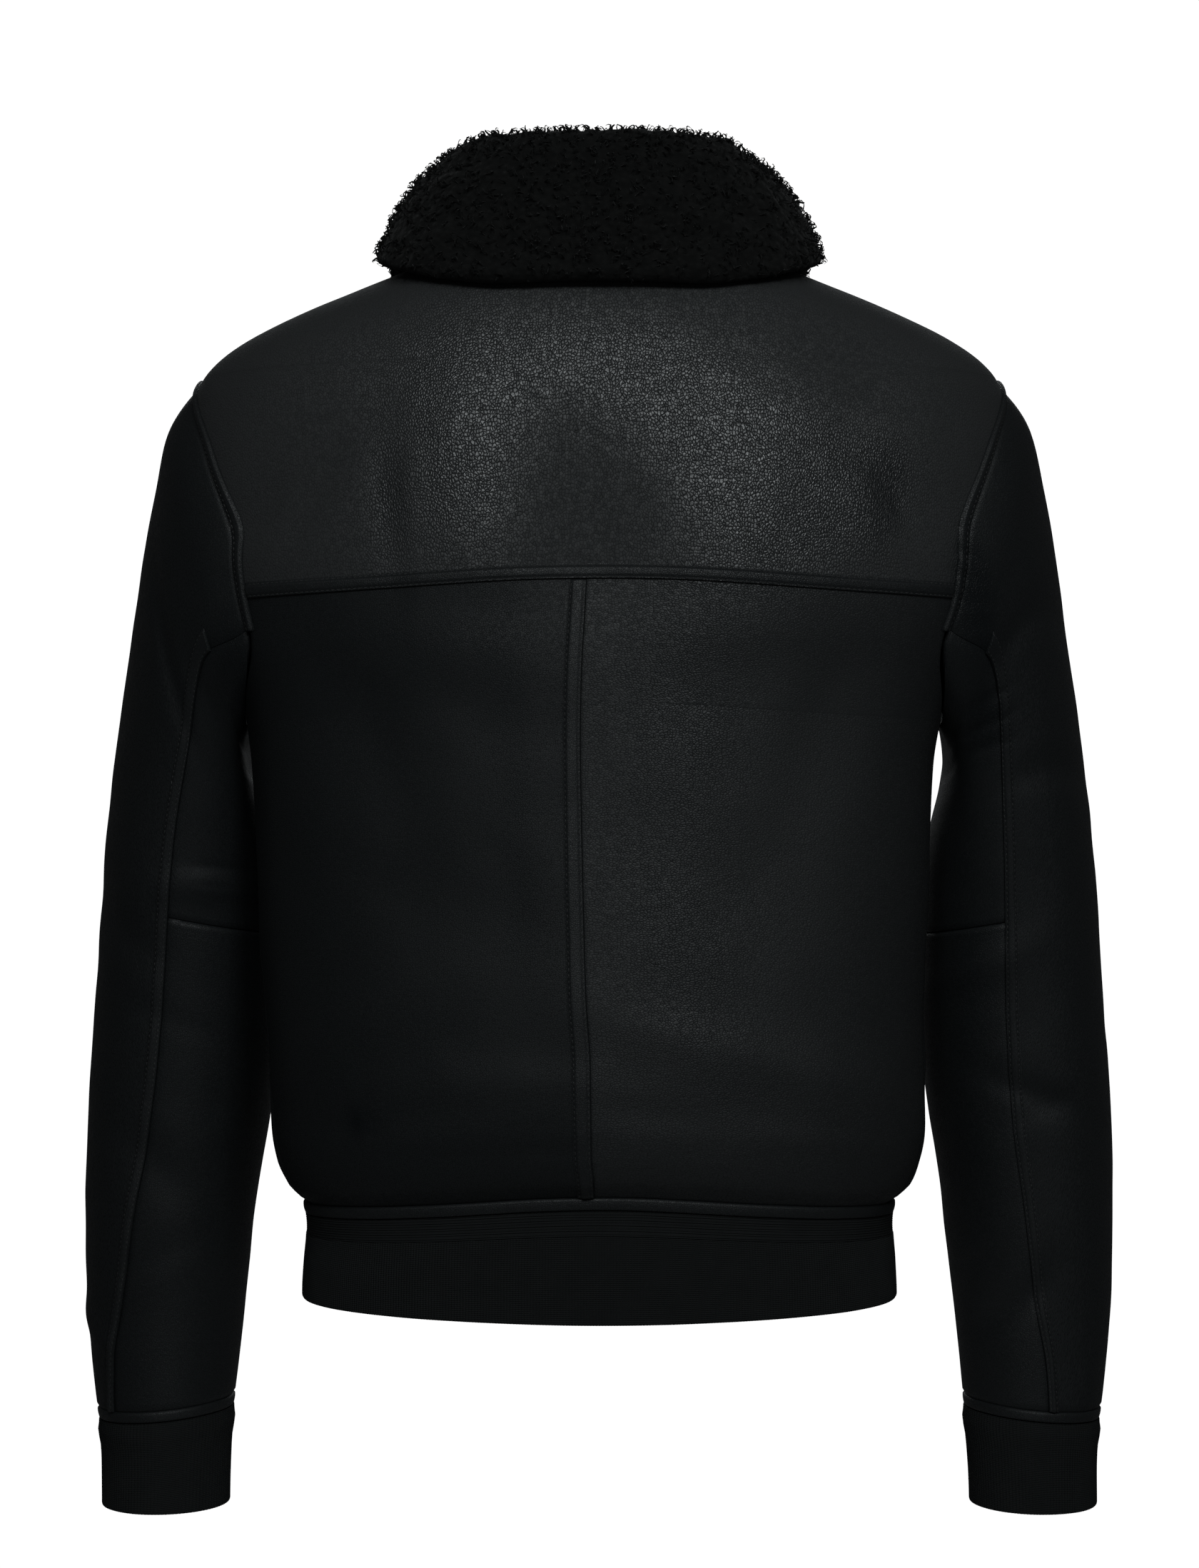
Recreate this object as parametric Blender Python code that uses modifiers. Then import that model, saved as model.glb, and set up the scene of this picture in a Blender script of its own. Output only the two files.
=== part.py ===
"""Black shearling flight jacket, hollow, in the pose it has on a general figure.

Frame: metres, +Z up, the back faces +Y and the front -Y, +X is the wearer's left.
The origin lies between the shoulders, where the wearer's neck and shoulders hold the jacket.

The body is a stack of rings (a superellipse with its own back and front depth), read from the
table BODY. The sleeves are ovals between an outer and an inner line, read from the table
SLEEVE, and start on the armhole. Each piece of leather is a wall: points on one of these two
surfaces, and the same points moved inwards by the thickness of the shearling.
"""

import math

import bpy
import numpy as np

COLLECTION = "shearling_jacket"

# Thicknesses and gaps
SHEARLING = 0.006
STRIP = 0.0016
RIB = 0.0035
TAPE = 0.0012
TAPE_SUNK = 0.0012
CHAIN = 0.0024
CHAIN_SUNK = 0.0004
COLLAR = 0.011
SEAM_GAP = 0.0003

# Seams of the body, as heights of its rings
HEM = -0.5800
RIB_TOP = -0.5310
WELT_TOP = -0.5240
YOKE_SEAM = -0.1720
STRIP_HALF = 0.0045
ARMPIT = -0.2450
SHOULDER_TIP = -0.0440
NECK = 0.0300

BACK_POWER = 2.5
FRONT_POWER = 2.0

# Rings of the body: height of the ring at the sides, half width, depth behind and in front of
# the origin, how much the ring is raised at the middle of the back and of the front, and how
# far it is moved to the wearer's left.
BODY = (
    ("height", "half_width", "back_depth", "front_depth", "back_lift", "front_lift", "shift"),
    (-0.600, 0.1740, 0.1110, 0.1080, -0.008, 0.000, 0.0000),
    (-0.580, 0.1740, 0.1120, 0.1090, -0.004, 0.000, 0.0000),
    (-0.560, 0.1730, 0.1120, 0.1090, 0.003, 0.000, 0.0000),
    (-0.540, 0.1715, 0.1110, 0.1085, 0.010, 0.000, 0.0000),
    (-0.524, 0.1735, 0.1130, 0.1110, 0.012, 0.000, 0.0000),
    (-0.514, 0.1820, 0.1210, 0.1180, 0.012, 0.000, 0.0000),
    (-0.500, 0.1875, 0.1270, 0.1220, 0.012, 0.000, 0.0010),
    (-0.484, 0.1900, 0.1300, 0.1240, 0.012, 0.000, 0.0010),
    (-0.449, 0.1915, 0.1315, 0.1250, 0.011, 0.000, 0.0010),
    (-0.406, 0.1930, 0.1310, 0.1245, 0.011, 0.000, 0.0030),
    (-0.366, 0.1955, 0.1295, 0.1235, 0.011, 0.000, 0.0035),
    (-0.300, 0.1980, 0.1270, 0.1215, 0.010, 0.000, 0.0040),
    (-0.270, 0.1995, 0.1255, 0.1210, 0.010, 0.000, 0.0040),
    (-0.245, 0.2030, 0.1245, 0.1200, 0.010, -0.001, 0.0035),
    (-0.220, 0.2100, 0.1235, 0.1195, 0.010, -0.004, 0.0025),
    (-0.195, 0.2215, 0.1225, 0.1185, 0.010, -0.008, 0.0010),
    (-0.170, 0.2330, 0.1210, 0.1175, 0.010, -0.013, 0.0000),
    (-0.145, 0.2400, 0.1190, 0.1160, 0.009, -0.018, 0.0000),
    (-0.094, 0.2420, 0.1130, 0.1120, 0.008, -0.031, 0.0000),
    (-0.075, 0.2410, 0.1095, 0.1095, 0.008, -0.037, 0.0000),
    (-0.058, 0.2385, 0.1055, 0.1060, 0.008, -0.043, 0.0000),
    (-0.044, 0.2325, 0.1018, 0.1025, 0.007, -0.048, 0.0000),
    (-0.036, 0.2255, 0.0995, 0.1000, 0.007, -0.051, 0.0000),
    (-0.021, 0.2035, 0.0945, 0.0955, 0.007, -0.056, 0.0000),
    (-0.004, 0.1670, 0.0890, 0.0900, 0.006, -0.062, 0.0000),
    (0.013, 0.1250, 0.0800, 0.0830, 0.006, -0.069, 0.0000),
    (0.023, 0.0990, 0.0720, 0.0780, 0.006, -0.073, 0.0000),
    (0.030, 0.0830, 0.0670, 0.0740, 0.006, -0.076, 0.0000),
    (0.036, 0.0720, 0.0630, 0.0710, 0.006, -0.079, 0.0000),
)

# Side seam, as an angle round the body from the middle of the back
SIDE_SEAM = (
    ("height", "angle"),
    (-0.600, 76.0),
    (-0.524, 76.0),
    (-0.450, 79.0),
    (-0.350, 83.0),
    (-0.245, 88.0),
)

# Seam down the middle of the back, which the photograph shows slightly to the left
BACK_SEAM = (
    ("height", "angle"),
    (-0.600, 1.4),
    (-0.524, 1.4),
    (-0.172, 3.2),
    (0.036, 3.2),
)

# Edge of the armhole: the sleeve's own angle (0 at the shoulder tip, 90 at the back, 180 at the
# armpit) against the angle round the body
ARMHOLE = (
    ("round", "angle"),
    (-30.0, 99.5),
    (0.0, 93.0),
    (30.0, 84.0),
    (60.0, 76.2),
    (90.0, 71.4),
    (120.0, 71.4),
    (150.0, 79.0),
    (180.0, 88.0),
    (210.0, 100.0),
    (240.0, 108.5),
    (270.0, 109.5),
    (300.0, 105.5),
    (330.0, 99.5),
    (360.0, 93.0),
    (390.0, 84.0),
)
SHOULDER_SEAM_AT_NECK = 97.0

# Widths of the strips beside the back seam and the armholes, as angles round the body
CENTRE_STRIP = 4.8
EDGE_STRIP = 1.8

# Ovals of the sleeve: its outermost and innermost points, the height of each, the oval's
# middle in Y and its half depth. Row 0 is the armhole, row 14 the end of the leather, row 15
# the end of the welt and row 17 the edge of the knitted cuff.
SLEEVE = (
    ("row", "outer_x", "outer_z", "inner_x", "inner_z", "middle_y", "half_depth"),
    (-1, 0.2080, -0.024, 0.1880, -0.228, 0.000, 0.0720),
    (0, 0.2325, -0.044, 0.1965, -0.245, -0.004, 0.0740),
    (1, 0.2518, -0.0695, 0.2050, -0.262, -0.014, 0.0760),
    (2, 0.2620, -0.1026, 0.2060, -0.274, -0.024, 0.0765),
    (3, 0.2715, -0.1447, 0.2040, -0.286, -0.034, 0.0765),
    (4, 0.2800, -0.1958, 0.2005, -0.300, -0.042, 0.0755),
    (5, 0.2880, -0.2471, 0.1970, -0.318, -0.048, 0.0740),
    (6, 0.2950, -0.2986, 0.1945, -0.340, -0.053, 0.0725),
    (7, 0.3003, -0.3503, 0.1935, -0.370, -0.058, 0.0710),
    (8, 0.3040, -0.4020, 0.1935, -0.407, -0.062, 0.0695),
    (9, 0.3074, -0.4450, 0.1955, -0.445, -0.064, 0.0680),
    (10, 0.3093, -0.4794, 0.1998, -0.479, -0.066, 0.0660),
    (11, 0.3110, -0.5311, 0.2080, -0.531, -0.067, 0.0620),
    (12, 0.3104, -0.5828, 0.2135, -0.583, -0.067, 0.0570),
    (13, 0.3080, -0.6172, 0.2170, -0.617, -0.065, 0.0530),
    (14, 0.3032, -0.6560, 0.2204, -0.649, -0.062, 0.0480),
    (15, 0.3018, -0.6630, 0.2212, -0.656, -0.061, 0.0465),
    (16, 0.3000, -0.6900, 0.2228, -0.687, -0.059, 0.0440),
    (17, 0.2996, -0.7150, 0.2236, -0.714, -0.058, 0.0430),
    (18, 0.2996, -0.7300, 0.2236, -0.729, -0.058, 0.0430),
)

# Where the back seam of each sleeve runs, as an angle round the sleeve
SLEEVE_SEAM = (
    ("row", "left", "right"),
    (-1, 122.0, 122.0),
    (0, 120.0, 120.0),
    (2, 104.0, 106.0),
    (4, 95.0, 101.0),
    (6, 86.0, 100.0),
    (8, 83.0, 101.0),
    (10, 80.0, 102.0),
    (12, 66.0, 96.0),
    (14, 50.0, 84.0),
    (18, 46.0, 80.0),
)
SEAM_START = 120.0
SEAM_STRIP = 8.5
FRONT_SEAM = 255.0
CROSS_SEAM_ROW = 7.0
LEATHER_END_ROW = 14.0
WELT_END_ROW = 15.0

# Largest folds of the body: where each lies, its slope from upright in the surface, how long
# and how wide it is, and how far it stands out (or in, when negative)
BODY_FOLDS = (
    ("angle", "height", "slope", "length", "width", "depth"),
    (64.0, -0.120, -32.0, 0.040, 0.012, -0.0045),
    (-62.0, -0.112, 30.0, 0.036, 0.013, -0.0030),
    (30.0, -0.215, 82.0, 0.070, 0.020, 0.0020),
    (-34.0, -0.200, -80.0, 0.080, 0.022, 0.0022),
    (52.0, -0.250, 20.0, 0.070, 0.020, -0.0030),
    (-50.0, -0.260, -18.0, 0.075, 0.022, -0.0030),
    (20.0, -0.460, 84.0, 0.090, 0.018, 0.0022),
    (-28.0, -0.440, 78.0, 0.080, 0.020, 0.0025),
    (-66.0, -0.470, 60.0, 0.050, 0.022, 0.0035),
    (60.0, -0.430, -62.0, 0.060, 0.020, 0.0025),
    (40.0, -0.350, 70.0, 0.080, 0.030, -0.0020),
    (-20.0, -0.330, 64.0, 0.090, 0.032, -0.0020),
    (130.0, -0.300, 65.0, 0.080, 0.024, 0.0025),
    (-135.0, -0.360, 70.0, 0.080, 0.024, 0.0025),
    (140.0, -0.450, 80.0, 0.090, 0.020, 0.0025),
    (-145.0, -0.470, 82.0, 0.080, 0.020, 0.0025),
)

# Largest folds of each sleeve, in the same way, with the angle round the sleeve
SLEEVE_FOLDS = (
    ("side", "angle", "row", "slope", "length", "width", "depth"),
    (1, 62.0, 3.2, 40.0, 0.045, 0.012, -0.0030),
    (1, 40.0, 7.2, 72.0, 0.040, 0.012, -0.0025),
    (1, 110.0, 6.4, -75.0, 0.040, 0.010, 0.0025),
    (1, 92.0, 10.6, 60.0, 0.045, 0.013, -0.0025),
    (1, 300.0, 7.5, 80.0, 0.050, 0.012, -0.0040),
    (1, 250.0, 8.6, 78.0, 0.050, 0.014, 0.0035),
    (1, 20.0, 12.6, 65.0, 0.040, 0.012, 0.0020),
    (-1, 58.0, 3.0, -48.0, 0.045, 0.012, -0.0035),
    (-1, 52.0, 5.2, -66.0, 0.040, 0.011, -0.0030),
    (-1, 118.0, 7.6, 72.0, 0.040, 0.012, 0.0025),
    (-1, 84.0, 9.6, -62.0, 0.045, 0.012, -0.0025),
    (-1, 112.0, 12.2, 55.0, 0.040, 0.011, -0.0035),
    (-1, 300.0, 8.2, 78.0, 0.050, 0.012, -0.0040),
    (-1, 245.0, 7.1, 82.0, 0.050, 0.014, 0.0035),
)

# Collar: angle round the neck from the middle of the back, the reach and height of its fold,
# and the ring of the body that its outer edge lies over
COLLAR_RIM = (
    ("angle", "fold_reach", "fold_z", "edge_ring"),
    (0.0, 0.0850, 0.0840, -0.0060),
    (30.0, 0.0880, 0.0840, -0.0060),
    (46.0, 0.0910, 0.0832, -0.0020),
    (60.0, 0.0925, 0.0775, 0.0050),
    (75.0, 0.0930, 0.0690, 0.0120),
    (90.0, 0.0935, 0.0590, 0.0165),
    (110.0, 0.0940, 0.0410, 0.0110),
    (130.0, 0.0925, 0.0150, 0.0020),
    (150.0, 0.0900, -0.0080, -0.0140),
    (166.0, 0.0890, -0.0210, -0.0340),
)
COLLAR_CLEAR = 0.0020
COLLAR_END = 166.0

# Zip
ZIP_HALF = 0.0120
CHAIN_HALF = 0.0034
SLIDER_Z = -0.0950
PULL_LENGTH = 0.0300
SLIDER_DEPTH = 0.0024
PULL_DEPTH = 0.0016
PULL_CLEAR = 0.0006
PULL_END = 0.0007

# Numbers of steps
BACK_STEPS = 8
FRONT_STEPS = 6
COLLAR_STEPS = 26
COLLAR_ROWS = 12

# Angles round the sleeve at which the armhole's seam has points, from the tip to the armpit
ROUND_STEPS = (0.0, 20.0, 38.0, 55.0, 72.0, 90.0, 120.0, 137.0, 155.0, 180.0)
LOWER_HEIGHTS = (-0.517, -0.508, -0.496, -0.470, -0.430, -0.385, -0.340, -0.300, -0.268)
UPPER_HEIGHTS = (-0.037, -0.022, -0.005, 0.012, 0.023)
RIB_HEIGHTS = (HEM, -0.563, -0.546, RIB_TOP)
WELT_HEIGHTS = (RIB_TOP, WELT_TOP)
SLEEVE_ROWS = (0, 0.35, 0.8, 1.5, 2.4, 3.3, 4.2, 5.1, 6.1, 7, 7.7, 8.5, 9.3, 10.1, 11, 12, 12.8, 13.4, 14)
CUFF_ROWS = (15, 15.4, 16.2, 17)

LEATHER = ("leather", (0.012, 0.013, 0.014), 0.42, 0.0)
TRIM = ("trim_leather", (0.014, 0.015, 0.016), 0.36, 0.0)
KNIT = ("rib_knit", (0.010, 0.010, 0.011), 0.92, 0.0)
WOOL = ("wool", (0.009, 0.009, 0.010), 0.95, 0.0)
METAL = ("zip_metal", (0.30, 0.30, 0.31), 0.35, 1.0)


def smooth(table, name, at):
    """One column of a table, read at any place by cubic pieces that never overshoot its rows."""
    rows = np.array(table[1:], float)
    x, y = rows[:, 0], rows[:, table[0].index(name)]
    at = np.asarray(at, float)
    rise = np.diff(y) / np.diff(x)
    product = rise[:-1] * rise[1:]
    total = np.where(product > 0, rise[:-1] + rise[1:], 1.0)
    middle = np.where(product > 0, 2 * product / total, 0.0)
    slope = np.concatenate([rise[:1], middle, rise[-1:]])
    i = np.clip(np.searchsorted(x, at) - 1, 0, len(x) - 2)
    step = x[i + 1] - x[i]
    t = (at - x[i]) / step
    start = (1 + 2 * t) * (1 - t) ** 2 * y[i] + t * (1 - t) ** 2 * step * slope[i]
    end = t**2 * (3 - 2 * t) * y[i + 1] + t**2 * (t - 1) * step * slope[i + 1]
    return start + end


def unit(vectors):
    return vectors / np.linalg.norm(vectors, axis=-1, keepdims=True)


def fold_height(across, along, folds, angle_scale, row_scale):
    """The sum of soft ridges: a Gaussian across each fold and another along it."""
    total = np.zeros(np.broadcast(across, along).shape)
    for angle, row, slope, length, width, depth in folds:
        x = ((across - angle + 180.0) % 360.0 - 180.0) * angle_scale
        z = (along - row) * row_scale
        tilt = math.radians(slope)
        cross = x * math.cos(tilt) - z * math.sin(tilt)
        run = x * math.sin(tilt) + z * math.cos(tilt)
        total = total + depth * np.exp(-((cross / width) ** 2) - (run / length) ** 2)
    return total


def body(angle, height):
    """A point of the body: a superellipse at that height, raised at the back and the front."""
    turn = np.radians(angle)
    side, back = np.sin(turn), np.cos(turn)
    behind = back >= 0
    depth = np.where(behind, smooth(BODY, "back_depth", height), smooth(BODY, "front_depth", height))
    power = np.where(behind, BACK_POWER, FRONT_POWER)
    width = smooth(BODY, "half_width", height)
    reach = ((np.abs(back) / depth) ** power + (np.abs(side) / width) ** power) ** (-1 / power)
    reach = reach + fold_height(angle, height, BODY_FOLDS[1:], math.radians(0.14), 1.0)
    rise = smooth(BODY, "back_lift", height) * np.maximum(back, 0) ** 2
    rise = rise + smooth(BODY, "front_lift", height) * np.maximum(-back, 0) ** 2
    x = reach * side + smooth(BODY, "shift", height)
    return np.stack([x, reach * back, height + rise], axis=-1)


def armhole_height(round_angle):
    middle = (SHOULDER_TIP + ARMPIT) / 2
    return middle + (SHOULDER_TIP - ARMPIT) / 2 * np.cos(np.radians(round_angle))


def armhole(side, round_angle):
    angle = smooth(ARMHOLE, "angle", np.mod(round_angle, 360.0))
    return body(side * angle, armhole_height(round_angle))


def oval(side, round_angle, row):
    turn = np.radians(round_angle)
    outer_x, inner_x = smooth(SLEEVE, "outer_x", row), smooth(SLEEVE, "inner_x", row)
    outer_z, inner_z = smooth(SLEEVE, "outer_z", row), smooth(SLEEVE, "inner_z", row)
    x = (outer_x + inner_x) / 2 + np.cos(turn) * (outer_x - inner_x) / 2
    z = (outer_z + inner_z) / 2 + np.cos(turn) * (outer_z - inner_z) / 2
    y = smooth(SLEEVE, "middle_y", row) + np.sin(turn) * smooth(SLEEVE, "half_depth", row)
    return np.stack([side * x, y, z], axis=-1)


def sleeve(side, round_angle, row):
    """A point of the sleeve: an oval of the table, which near the armhole bends to its edge."""
    column = "left" if side > 0 else "right"
    twist = smooth(SLEEVE_SEAM, column, row) - SEAM_START
    spread = 0.5 * (1 - np.cos(np.radians(round_angle - SEAM_START)))
    point = oval(side, round_angle + twist * (1 - 0.35 * spread), row)
    near = np.clip(1 - row / 3.2, 0, 1) ** 2
    miss = armhole(side, round_angle) - oval(side, round_angle, 0.0)
    folds = [fold[1:] for fold in SLEEVE_FOLDS[1:] if fold[0] == side]
    middle = (oval(side, 0.0, row) + oval(side, 180.0, row)) / 2
    outward = unit(point - middle)
    height = fold_height(round_angle + twist, row, folds, math.radians(0.06), 0.045)
    height = height * np.clip(row / 1.5, 0, 1)
    return point + miss * near[..., None] + outward * height[..., None]


def normals(surface, first, second, small_first, small_second):
    across = surface(first + small_first, second) - surface(first - small_first, second)
    along = surface(first, second + small_second) - surface(first, second - small_second)
    return unit(np.cross(across, along))


def body_normals(angle, height):
    return -normals(body, angle, height, 0.05, 0.0001)


def sleeve_normals(side, round_angle, row):
    def surface(first, second):
        return sleeve(side, first, second)

    return -side * normals(surface, round_angle, row, 0.05, 0.002)


def armhole_ways(side, round_angle):
    """The way the body's wall and the sleeve's wall are thick along the armhole.

    Each leans towards the other's normal where the two surfaces nearly run on, and keeps to its
    own where they meet in a deep valley, as at the armpit.
    """
    angle = side * smooth(ARMHOLE, "angle", np.mod(round_angle, 360.0))
    from_body = body_normals(angle, armhole_height(round_angle))
    from_sleeve = sleeve_normals(side, round_angle, np.full(np.shape(round_angle), 0.05))
    alike = np.clip(np.sum(from_body * from_sleeve, axis=-1, keepdims=True), 0, 1) ** 2
    return unit(from_body + alike * from_sleeve), unit(from_sleeve + alike * from_body)


def body_rows():
    """Heights of the rings that the leather has points on, and each one's armhole angle."""
    strip = [YOKE_SEAM + STRIP_HALF, YOKE_SEAM, YOKE_SEAM - STRIP_HALF]
    middle = (SHOULDER_TIP + ARMPIT) / 2
    extra = [math.degrees(math.acos((z - middle) / (SHOULDER_TIP - middle))) for z in strip]
    rounds = sorted(list(ROUND_STEPS) + extra, reverse=True)
    heights = [WELT_TOP, *LOWER_HEIGHTS] + [float(armhole_height(r)) for r in rounds]
    heights += [*UPPER_HEIGHTS, NECK]
    marks = [None] * (1 + len(LOWER_HEIGHTS)) + rounds + [None] * (len(UPPER_HEIGHTS) + 1)
    return np.array(heights), marks


HEIGHTS, ROUNDS = body_rows()
YOKE_ROW = int(np.argmin(np.abs(HEIGHTS - YOKE_SEAM)))
STRIP_FOOT_ROW = ROUNDS.index(120.0)
LAST_ROUND = ROUNDS.index(0.0)


def edge_angles(front):
    """The angle at which each row of the body meets the side seam, armhole or shoulder seam."""
    found = []
    for height, mark in zip(HEIGHTS, ROUNDS):
        if mark is not None:
            found.append(float(smooth(ARMHOLE, "angle", 360.0 - mark if front else mark)))
        elif height < ARMPIT:
            found.append(float(smooth(SIDE_SEAM, "angle", height)))
        else:
            part = (height - SHOULDER_TIP) / (NECK - SHOULDER_TIP)
            start = float(smooth(ARMHOLE, "angle", 0.0))
            found.append(start + (SHOULDER_SEAM_AT_NECK - start) * part)
    return np.array(found)


def zip_angle(half_width, heights):
    return 180.0 - np.degrees(np.arcsin(half_width / smooth(BODY, "front_depth", heights)))


def back_angles(side, heights, edges):
    """Angles of the columns of one half of the back, from the centre seam to the edge."""
    seam = smooth(BACK_SEAM, "angle", heights)
    start = seam + CENTRE_STRIP if side > 0 else seam - CENTRE_STRIP
    inner = side * (edges - EDGE_STRIP)
    steps = np.linspace(0, 1, BACK_STEPS - 1)
    middle = start[:, None] + (inner - start)[:, None] * steps
    return np.concatenate([seam[:, None], middle, side * edges[:, None]], axis=1)


def front_angles(side, heights, edges):
    end = zip_angle(ZIP_HALF, heights)
    steps = np.linspace(0, 1, FRONT_STEPS + 1)
    return side * (edges[:, None] + (end - edges)[:, None] * steps)


def body_grid(angles, heights, edge_column=None, side=1, front=False):
    """Points and thickness directions on the body; along the armhole the sleeve shares them."""
    level = np.broadcast_to(heights[:, None], angles.shape)
    points = body(angles, level)
    ways = body_normals(angles, level)
    if edge_column is None:
        return points, ways
    for row, height in enumerate(heights):
        mark = ROUNDS[int(np.argmin(np.abs(HEIGHTS - height)))]
        if mark is None:
            continue
        turn = 360.0 - mark if front else mark
        shared = armhole_ways(side, np.array([turn]))[0][0]
        apart = np.linalg.norm(points[row] - points[row, edge_column], axis=-1)
        weight = np.exp(-((apart / 0.012) ** 2))[:, None]
        ways[row] = unit(ways[row] * (1 - weight) + shared * weight)
    return points, ways


def draw_in(points, closed):
    """Moves each free edge of a grid half a seam gap into the piece."""
    moved = points.copy()
    half = SEAM_GAP / 2
    moved[0] += half * unit(points[1] - points[0])
    moved[-1] += half * unit(points[-2] - points[-1])
    if not closed:
        moved[:, 0] += half * unit(points[:, 1] - points[:, 0])
        moved[:, -1] += half * unit(points[:, -2] - points[:, -1])
    return moved


def grid_triangles(base, closed):
    """Each cell of a grid as two triangles, split along its shorter diagonal."""
    rows, columns = base.shape[:2]
    row = np.arange(rows - 1)[:, None]
    column = np.arange(columns if closed else columns - 1)[None, :]
    a = (row * columns + column).reshape(-1, 1)
    b = (row * columns + (column + 1) % columns).reshape(-1, 1)
    c, d = b + columns, a + columns
    flat = base.reshape(-1, 3)
    ac = np.linalg.norm(flat[a] - flat[c], axis=-1)
    bd = np.linalg.norm(flat[b] - flat[d], axis=-1)
    short = ac < bd
    first = np.where(short, np.hstack([a, b, c]), np.hstack([a, b, d]))
    second = np.where(short, np.hstack([a, c, d]), np.hstack([b, c, d]))
    return np.concatenate([first, second])


def rim_loops(rows, columns, closed):
    """The borders of a grid, as runs of point numbers."""
    numbers = np.arange(rows * columns).reshape(rows, columns)
    if closed:
        return [numbers[0], numbers[-1][::-1]]
    return [np.concatenate([numbers[0], numbers[1:, -1], numbers[-1, -2::-1], numbers[-2:0:-1, 0]])]


def rim_triangles(loop, count, points):
    """The rim's two triangles at each step; the pieces on both sides of a seam split it alike."""
    after = np.roll(loop, -1)
    order = points[:count] @ np.array([0.37, 0.11, 1.0])
    rising = order[loop] < order[after]
    near, far = np.where(rising, loop, after), np.where(rising, after, loop)
    first = np.stack([near, near + count, far + count], axis=-1)
    second = np.stack([near, far + count, far], axis=-1)
    turned = ~rising[:, None]
    return [np.where(turned, face[:, ::-1], face) for face in (first, second)]


def wall(name, outer, inner, finish, base, closed=False):
    """A closed solid between two grids of points, both split as the grid under them is."""
    rows, columns = outer.shape[:2]
    count = rows * columns
    points = np.concatenate([outer.reshape(-1, 3), inner.reshape(-1, 3)])
    face = grid_triangles(base, closed)
    faces = [face, face[:, ::-1] + count]
    for loop in rim_loops(rows, columns, closed):
        faces += rim_triangles(loop, count, points)
    faces = np.concatenate(faces)
    corners = points[faces]
    volume = np.sum(np.cross(corners[:, 0], corners[:, 1]) * corners[:, 2])
    if volume < 0:
        faces = faces[:, ::-1]
    return add_mesh(name, points, faces, finish)


def add_mesh(name, points, faces, finish):
    mesh = bpy.data.meshes.new(name)
    mesh.from_pydata(points.tolist(), [], faces.tolist())
    mesh.shade_smooth()
    mesh.set_sharp_from_angle(angle=math.radians(50))
    mesh.materials.append(material(finish))
    part = bpy.data.objects.new(name, mesh)
    bpy.data.collections[COLLECTION].objects.link(part)
    return part


def material(finish):
    name, colour, roughness, metallic = finish
    found = bpy.data.materials.get(name)
    if found:
        return found
    found = bpy.data.materials.new(name)
    found.use_nodes = True
    shader = found.node_tree.nodes["Principled BSDF"]
    shader.inputs["Base Color"].default_value = (*colour, 1.0)
    shader.inputs["Roughness"].default_value = roughness
    shader.inputs["Metallic"].default_value = metallic
    return found


def panel(name, points, ways, thickness, finish, closed=False):
    """A piece of the garment's own surface, thick inwards."""
    moved = draw_in(points, closed)
    return wall(name, moved, moved - ways * thickness, finish, points, closed)


def strip(name, points, ways, finish):
    """A taped strip that lies on a panel: the panel's points, moved out."""
    moved = draw_in(points, False)
    outer = moved + ways * (SEAM_GAP + STRIP)
    return wall(name, outer, moved + ways * SEAM_GAP, finish, points)


def back_block(side, first, last):
    """One half of the back, with its columns in order from the wearer's right to the left."""
    heights = HEIGHTS[first : last + 1]
    edges = edge_angles(False)[first : last + 1]
    angles = back_angles(side, heights, edges)
    points, ways = body_grid(angles, heights, BACK_STEPS, side)
    return points[:, ::side], ways[:, ::side]


def join_halves(right, left):
    """Grids of both halves as one, from the right edge to the left; the centre is shared."""
    return tuple(np.concatenate([r[:, :-1], l], axis=1) for r, l in zip(right, left))


def make_back():
    last = len(HEIGHTS) - 1
    for side, name in ((1, "back_left"), (-1, "back_right")):
        points, ways = back_block(side, 0, YOKE_ROW)
        panel(name, points, ways, SHEARLING, LEATHER)
    points, ways = join_halves(back_block(-1, YOKE_ROW, last), back_block(1, YOKE_ROW, last))
    panel("back_yoke", points, ways, SHEARLING, LEATHER)


def make_back_strips():
    halves = [back_block(side, YOKE_ROW - 1, YOKE_ROW + 1) for side in (-1, 1)]
    points, ways = join_halves(*halves)
    strip("yoke_strip", points[:, 1:-1], ways[:, 1:-1], TRIM)
    points, ways = back_block(1, 0, YOKE_ROW - 1)
    strip("centre_back_strip", points[:, :2], ways[:, :2], TRIM)
    for side, name in ((1, "armhole_strip_left"), (-1, "armhole_strip_right")):
        points, ways = back_block(side, STRIP_FOOT_ROW, LAST_ROUND)
        edge = slice(-2, None) if side > 0 else slice(0, 2)
        strip(name, points[:, edge], ways[:, edge], TRIM)


def make_fronts():
    edges = edge_angles(True)
    for side, name in ((1, "front_left"), (-1, "front_right")):
        angles = front_angles(side, HEIGHTS, edges)
        points, ways = body_grid(angles, HEIGHTS, 0, side, True)
        panel(name, points, ways, SHEARLING, LEATHER)


def band_angles(heights):
    """Angles round the hem, from the zip's right edge past the back to its left edge."""
    edge = smooth(SIDE_SEAM, "angle", heights)
    halves = []
    for side in (-1, 1):
        back = back_angles(side, heights, edge)
        front = front_angles(side, heights, edge)
        halves.append(np.concatenate([back, front[:, 1:]], axis=1))
    return np.concatenate([halves[0][:, :0:-1], halves[1]], axis=1)


def make_hem():
    for name, levels, finish in (("hem_welt", WELT_HEIGHTS, TRIM), ("hem_rib", RIB_HEIGHTS, KNIT)):
        heights = np.array(levels)
        points, ways = body_grid(band_angles(heights), heights)
        panel(name, points, ways, RIB, finish)


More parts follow.
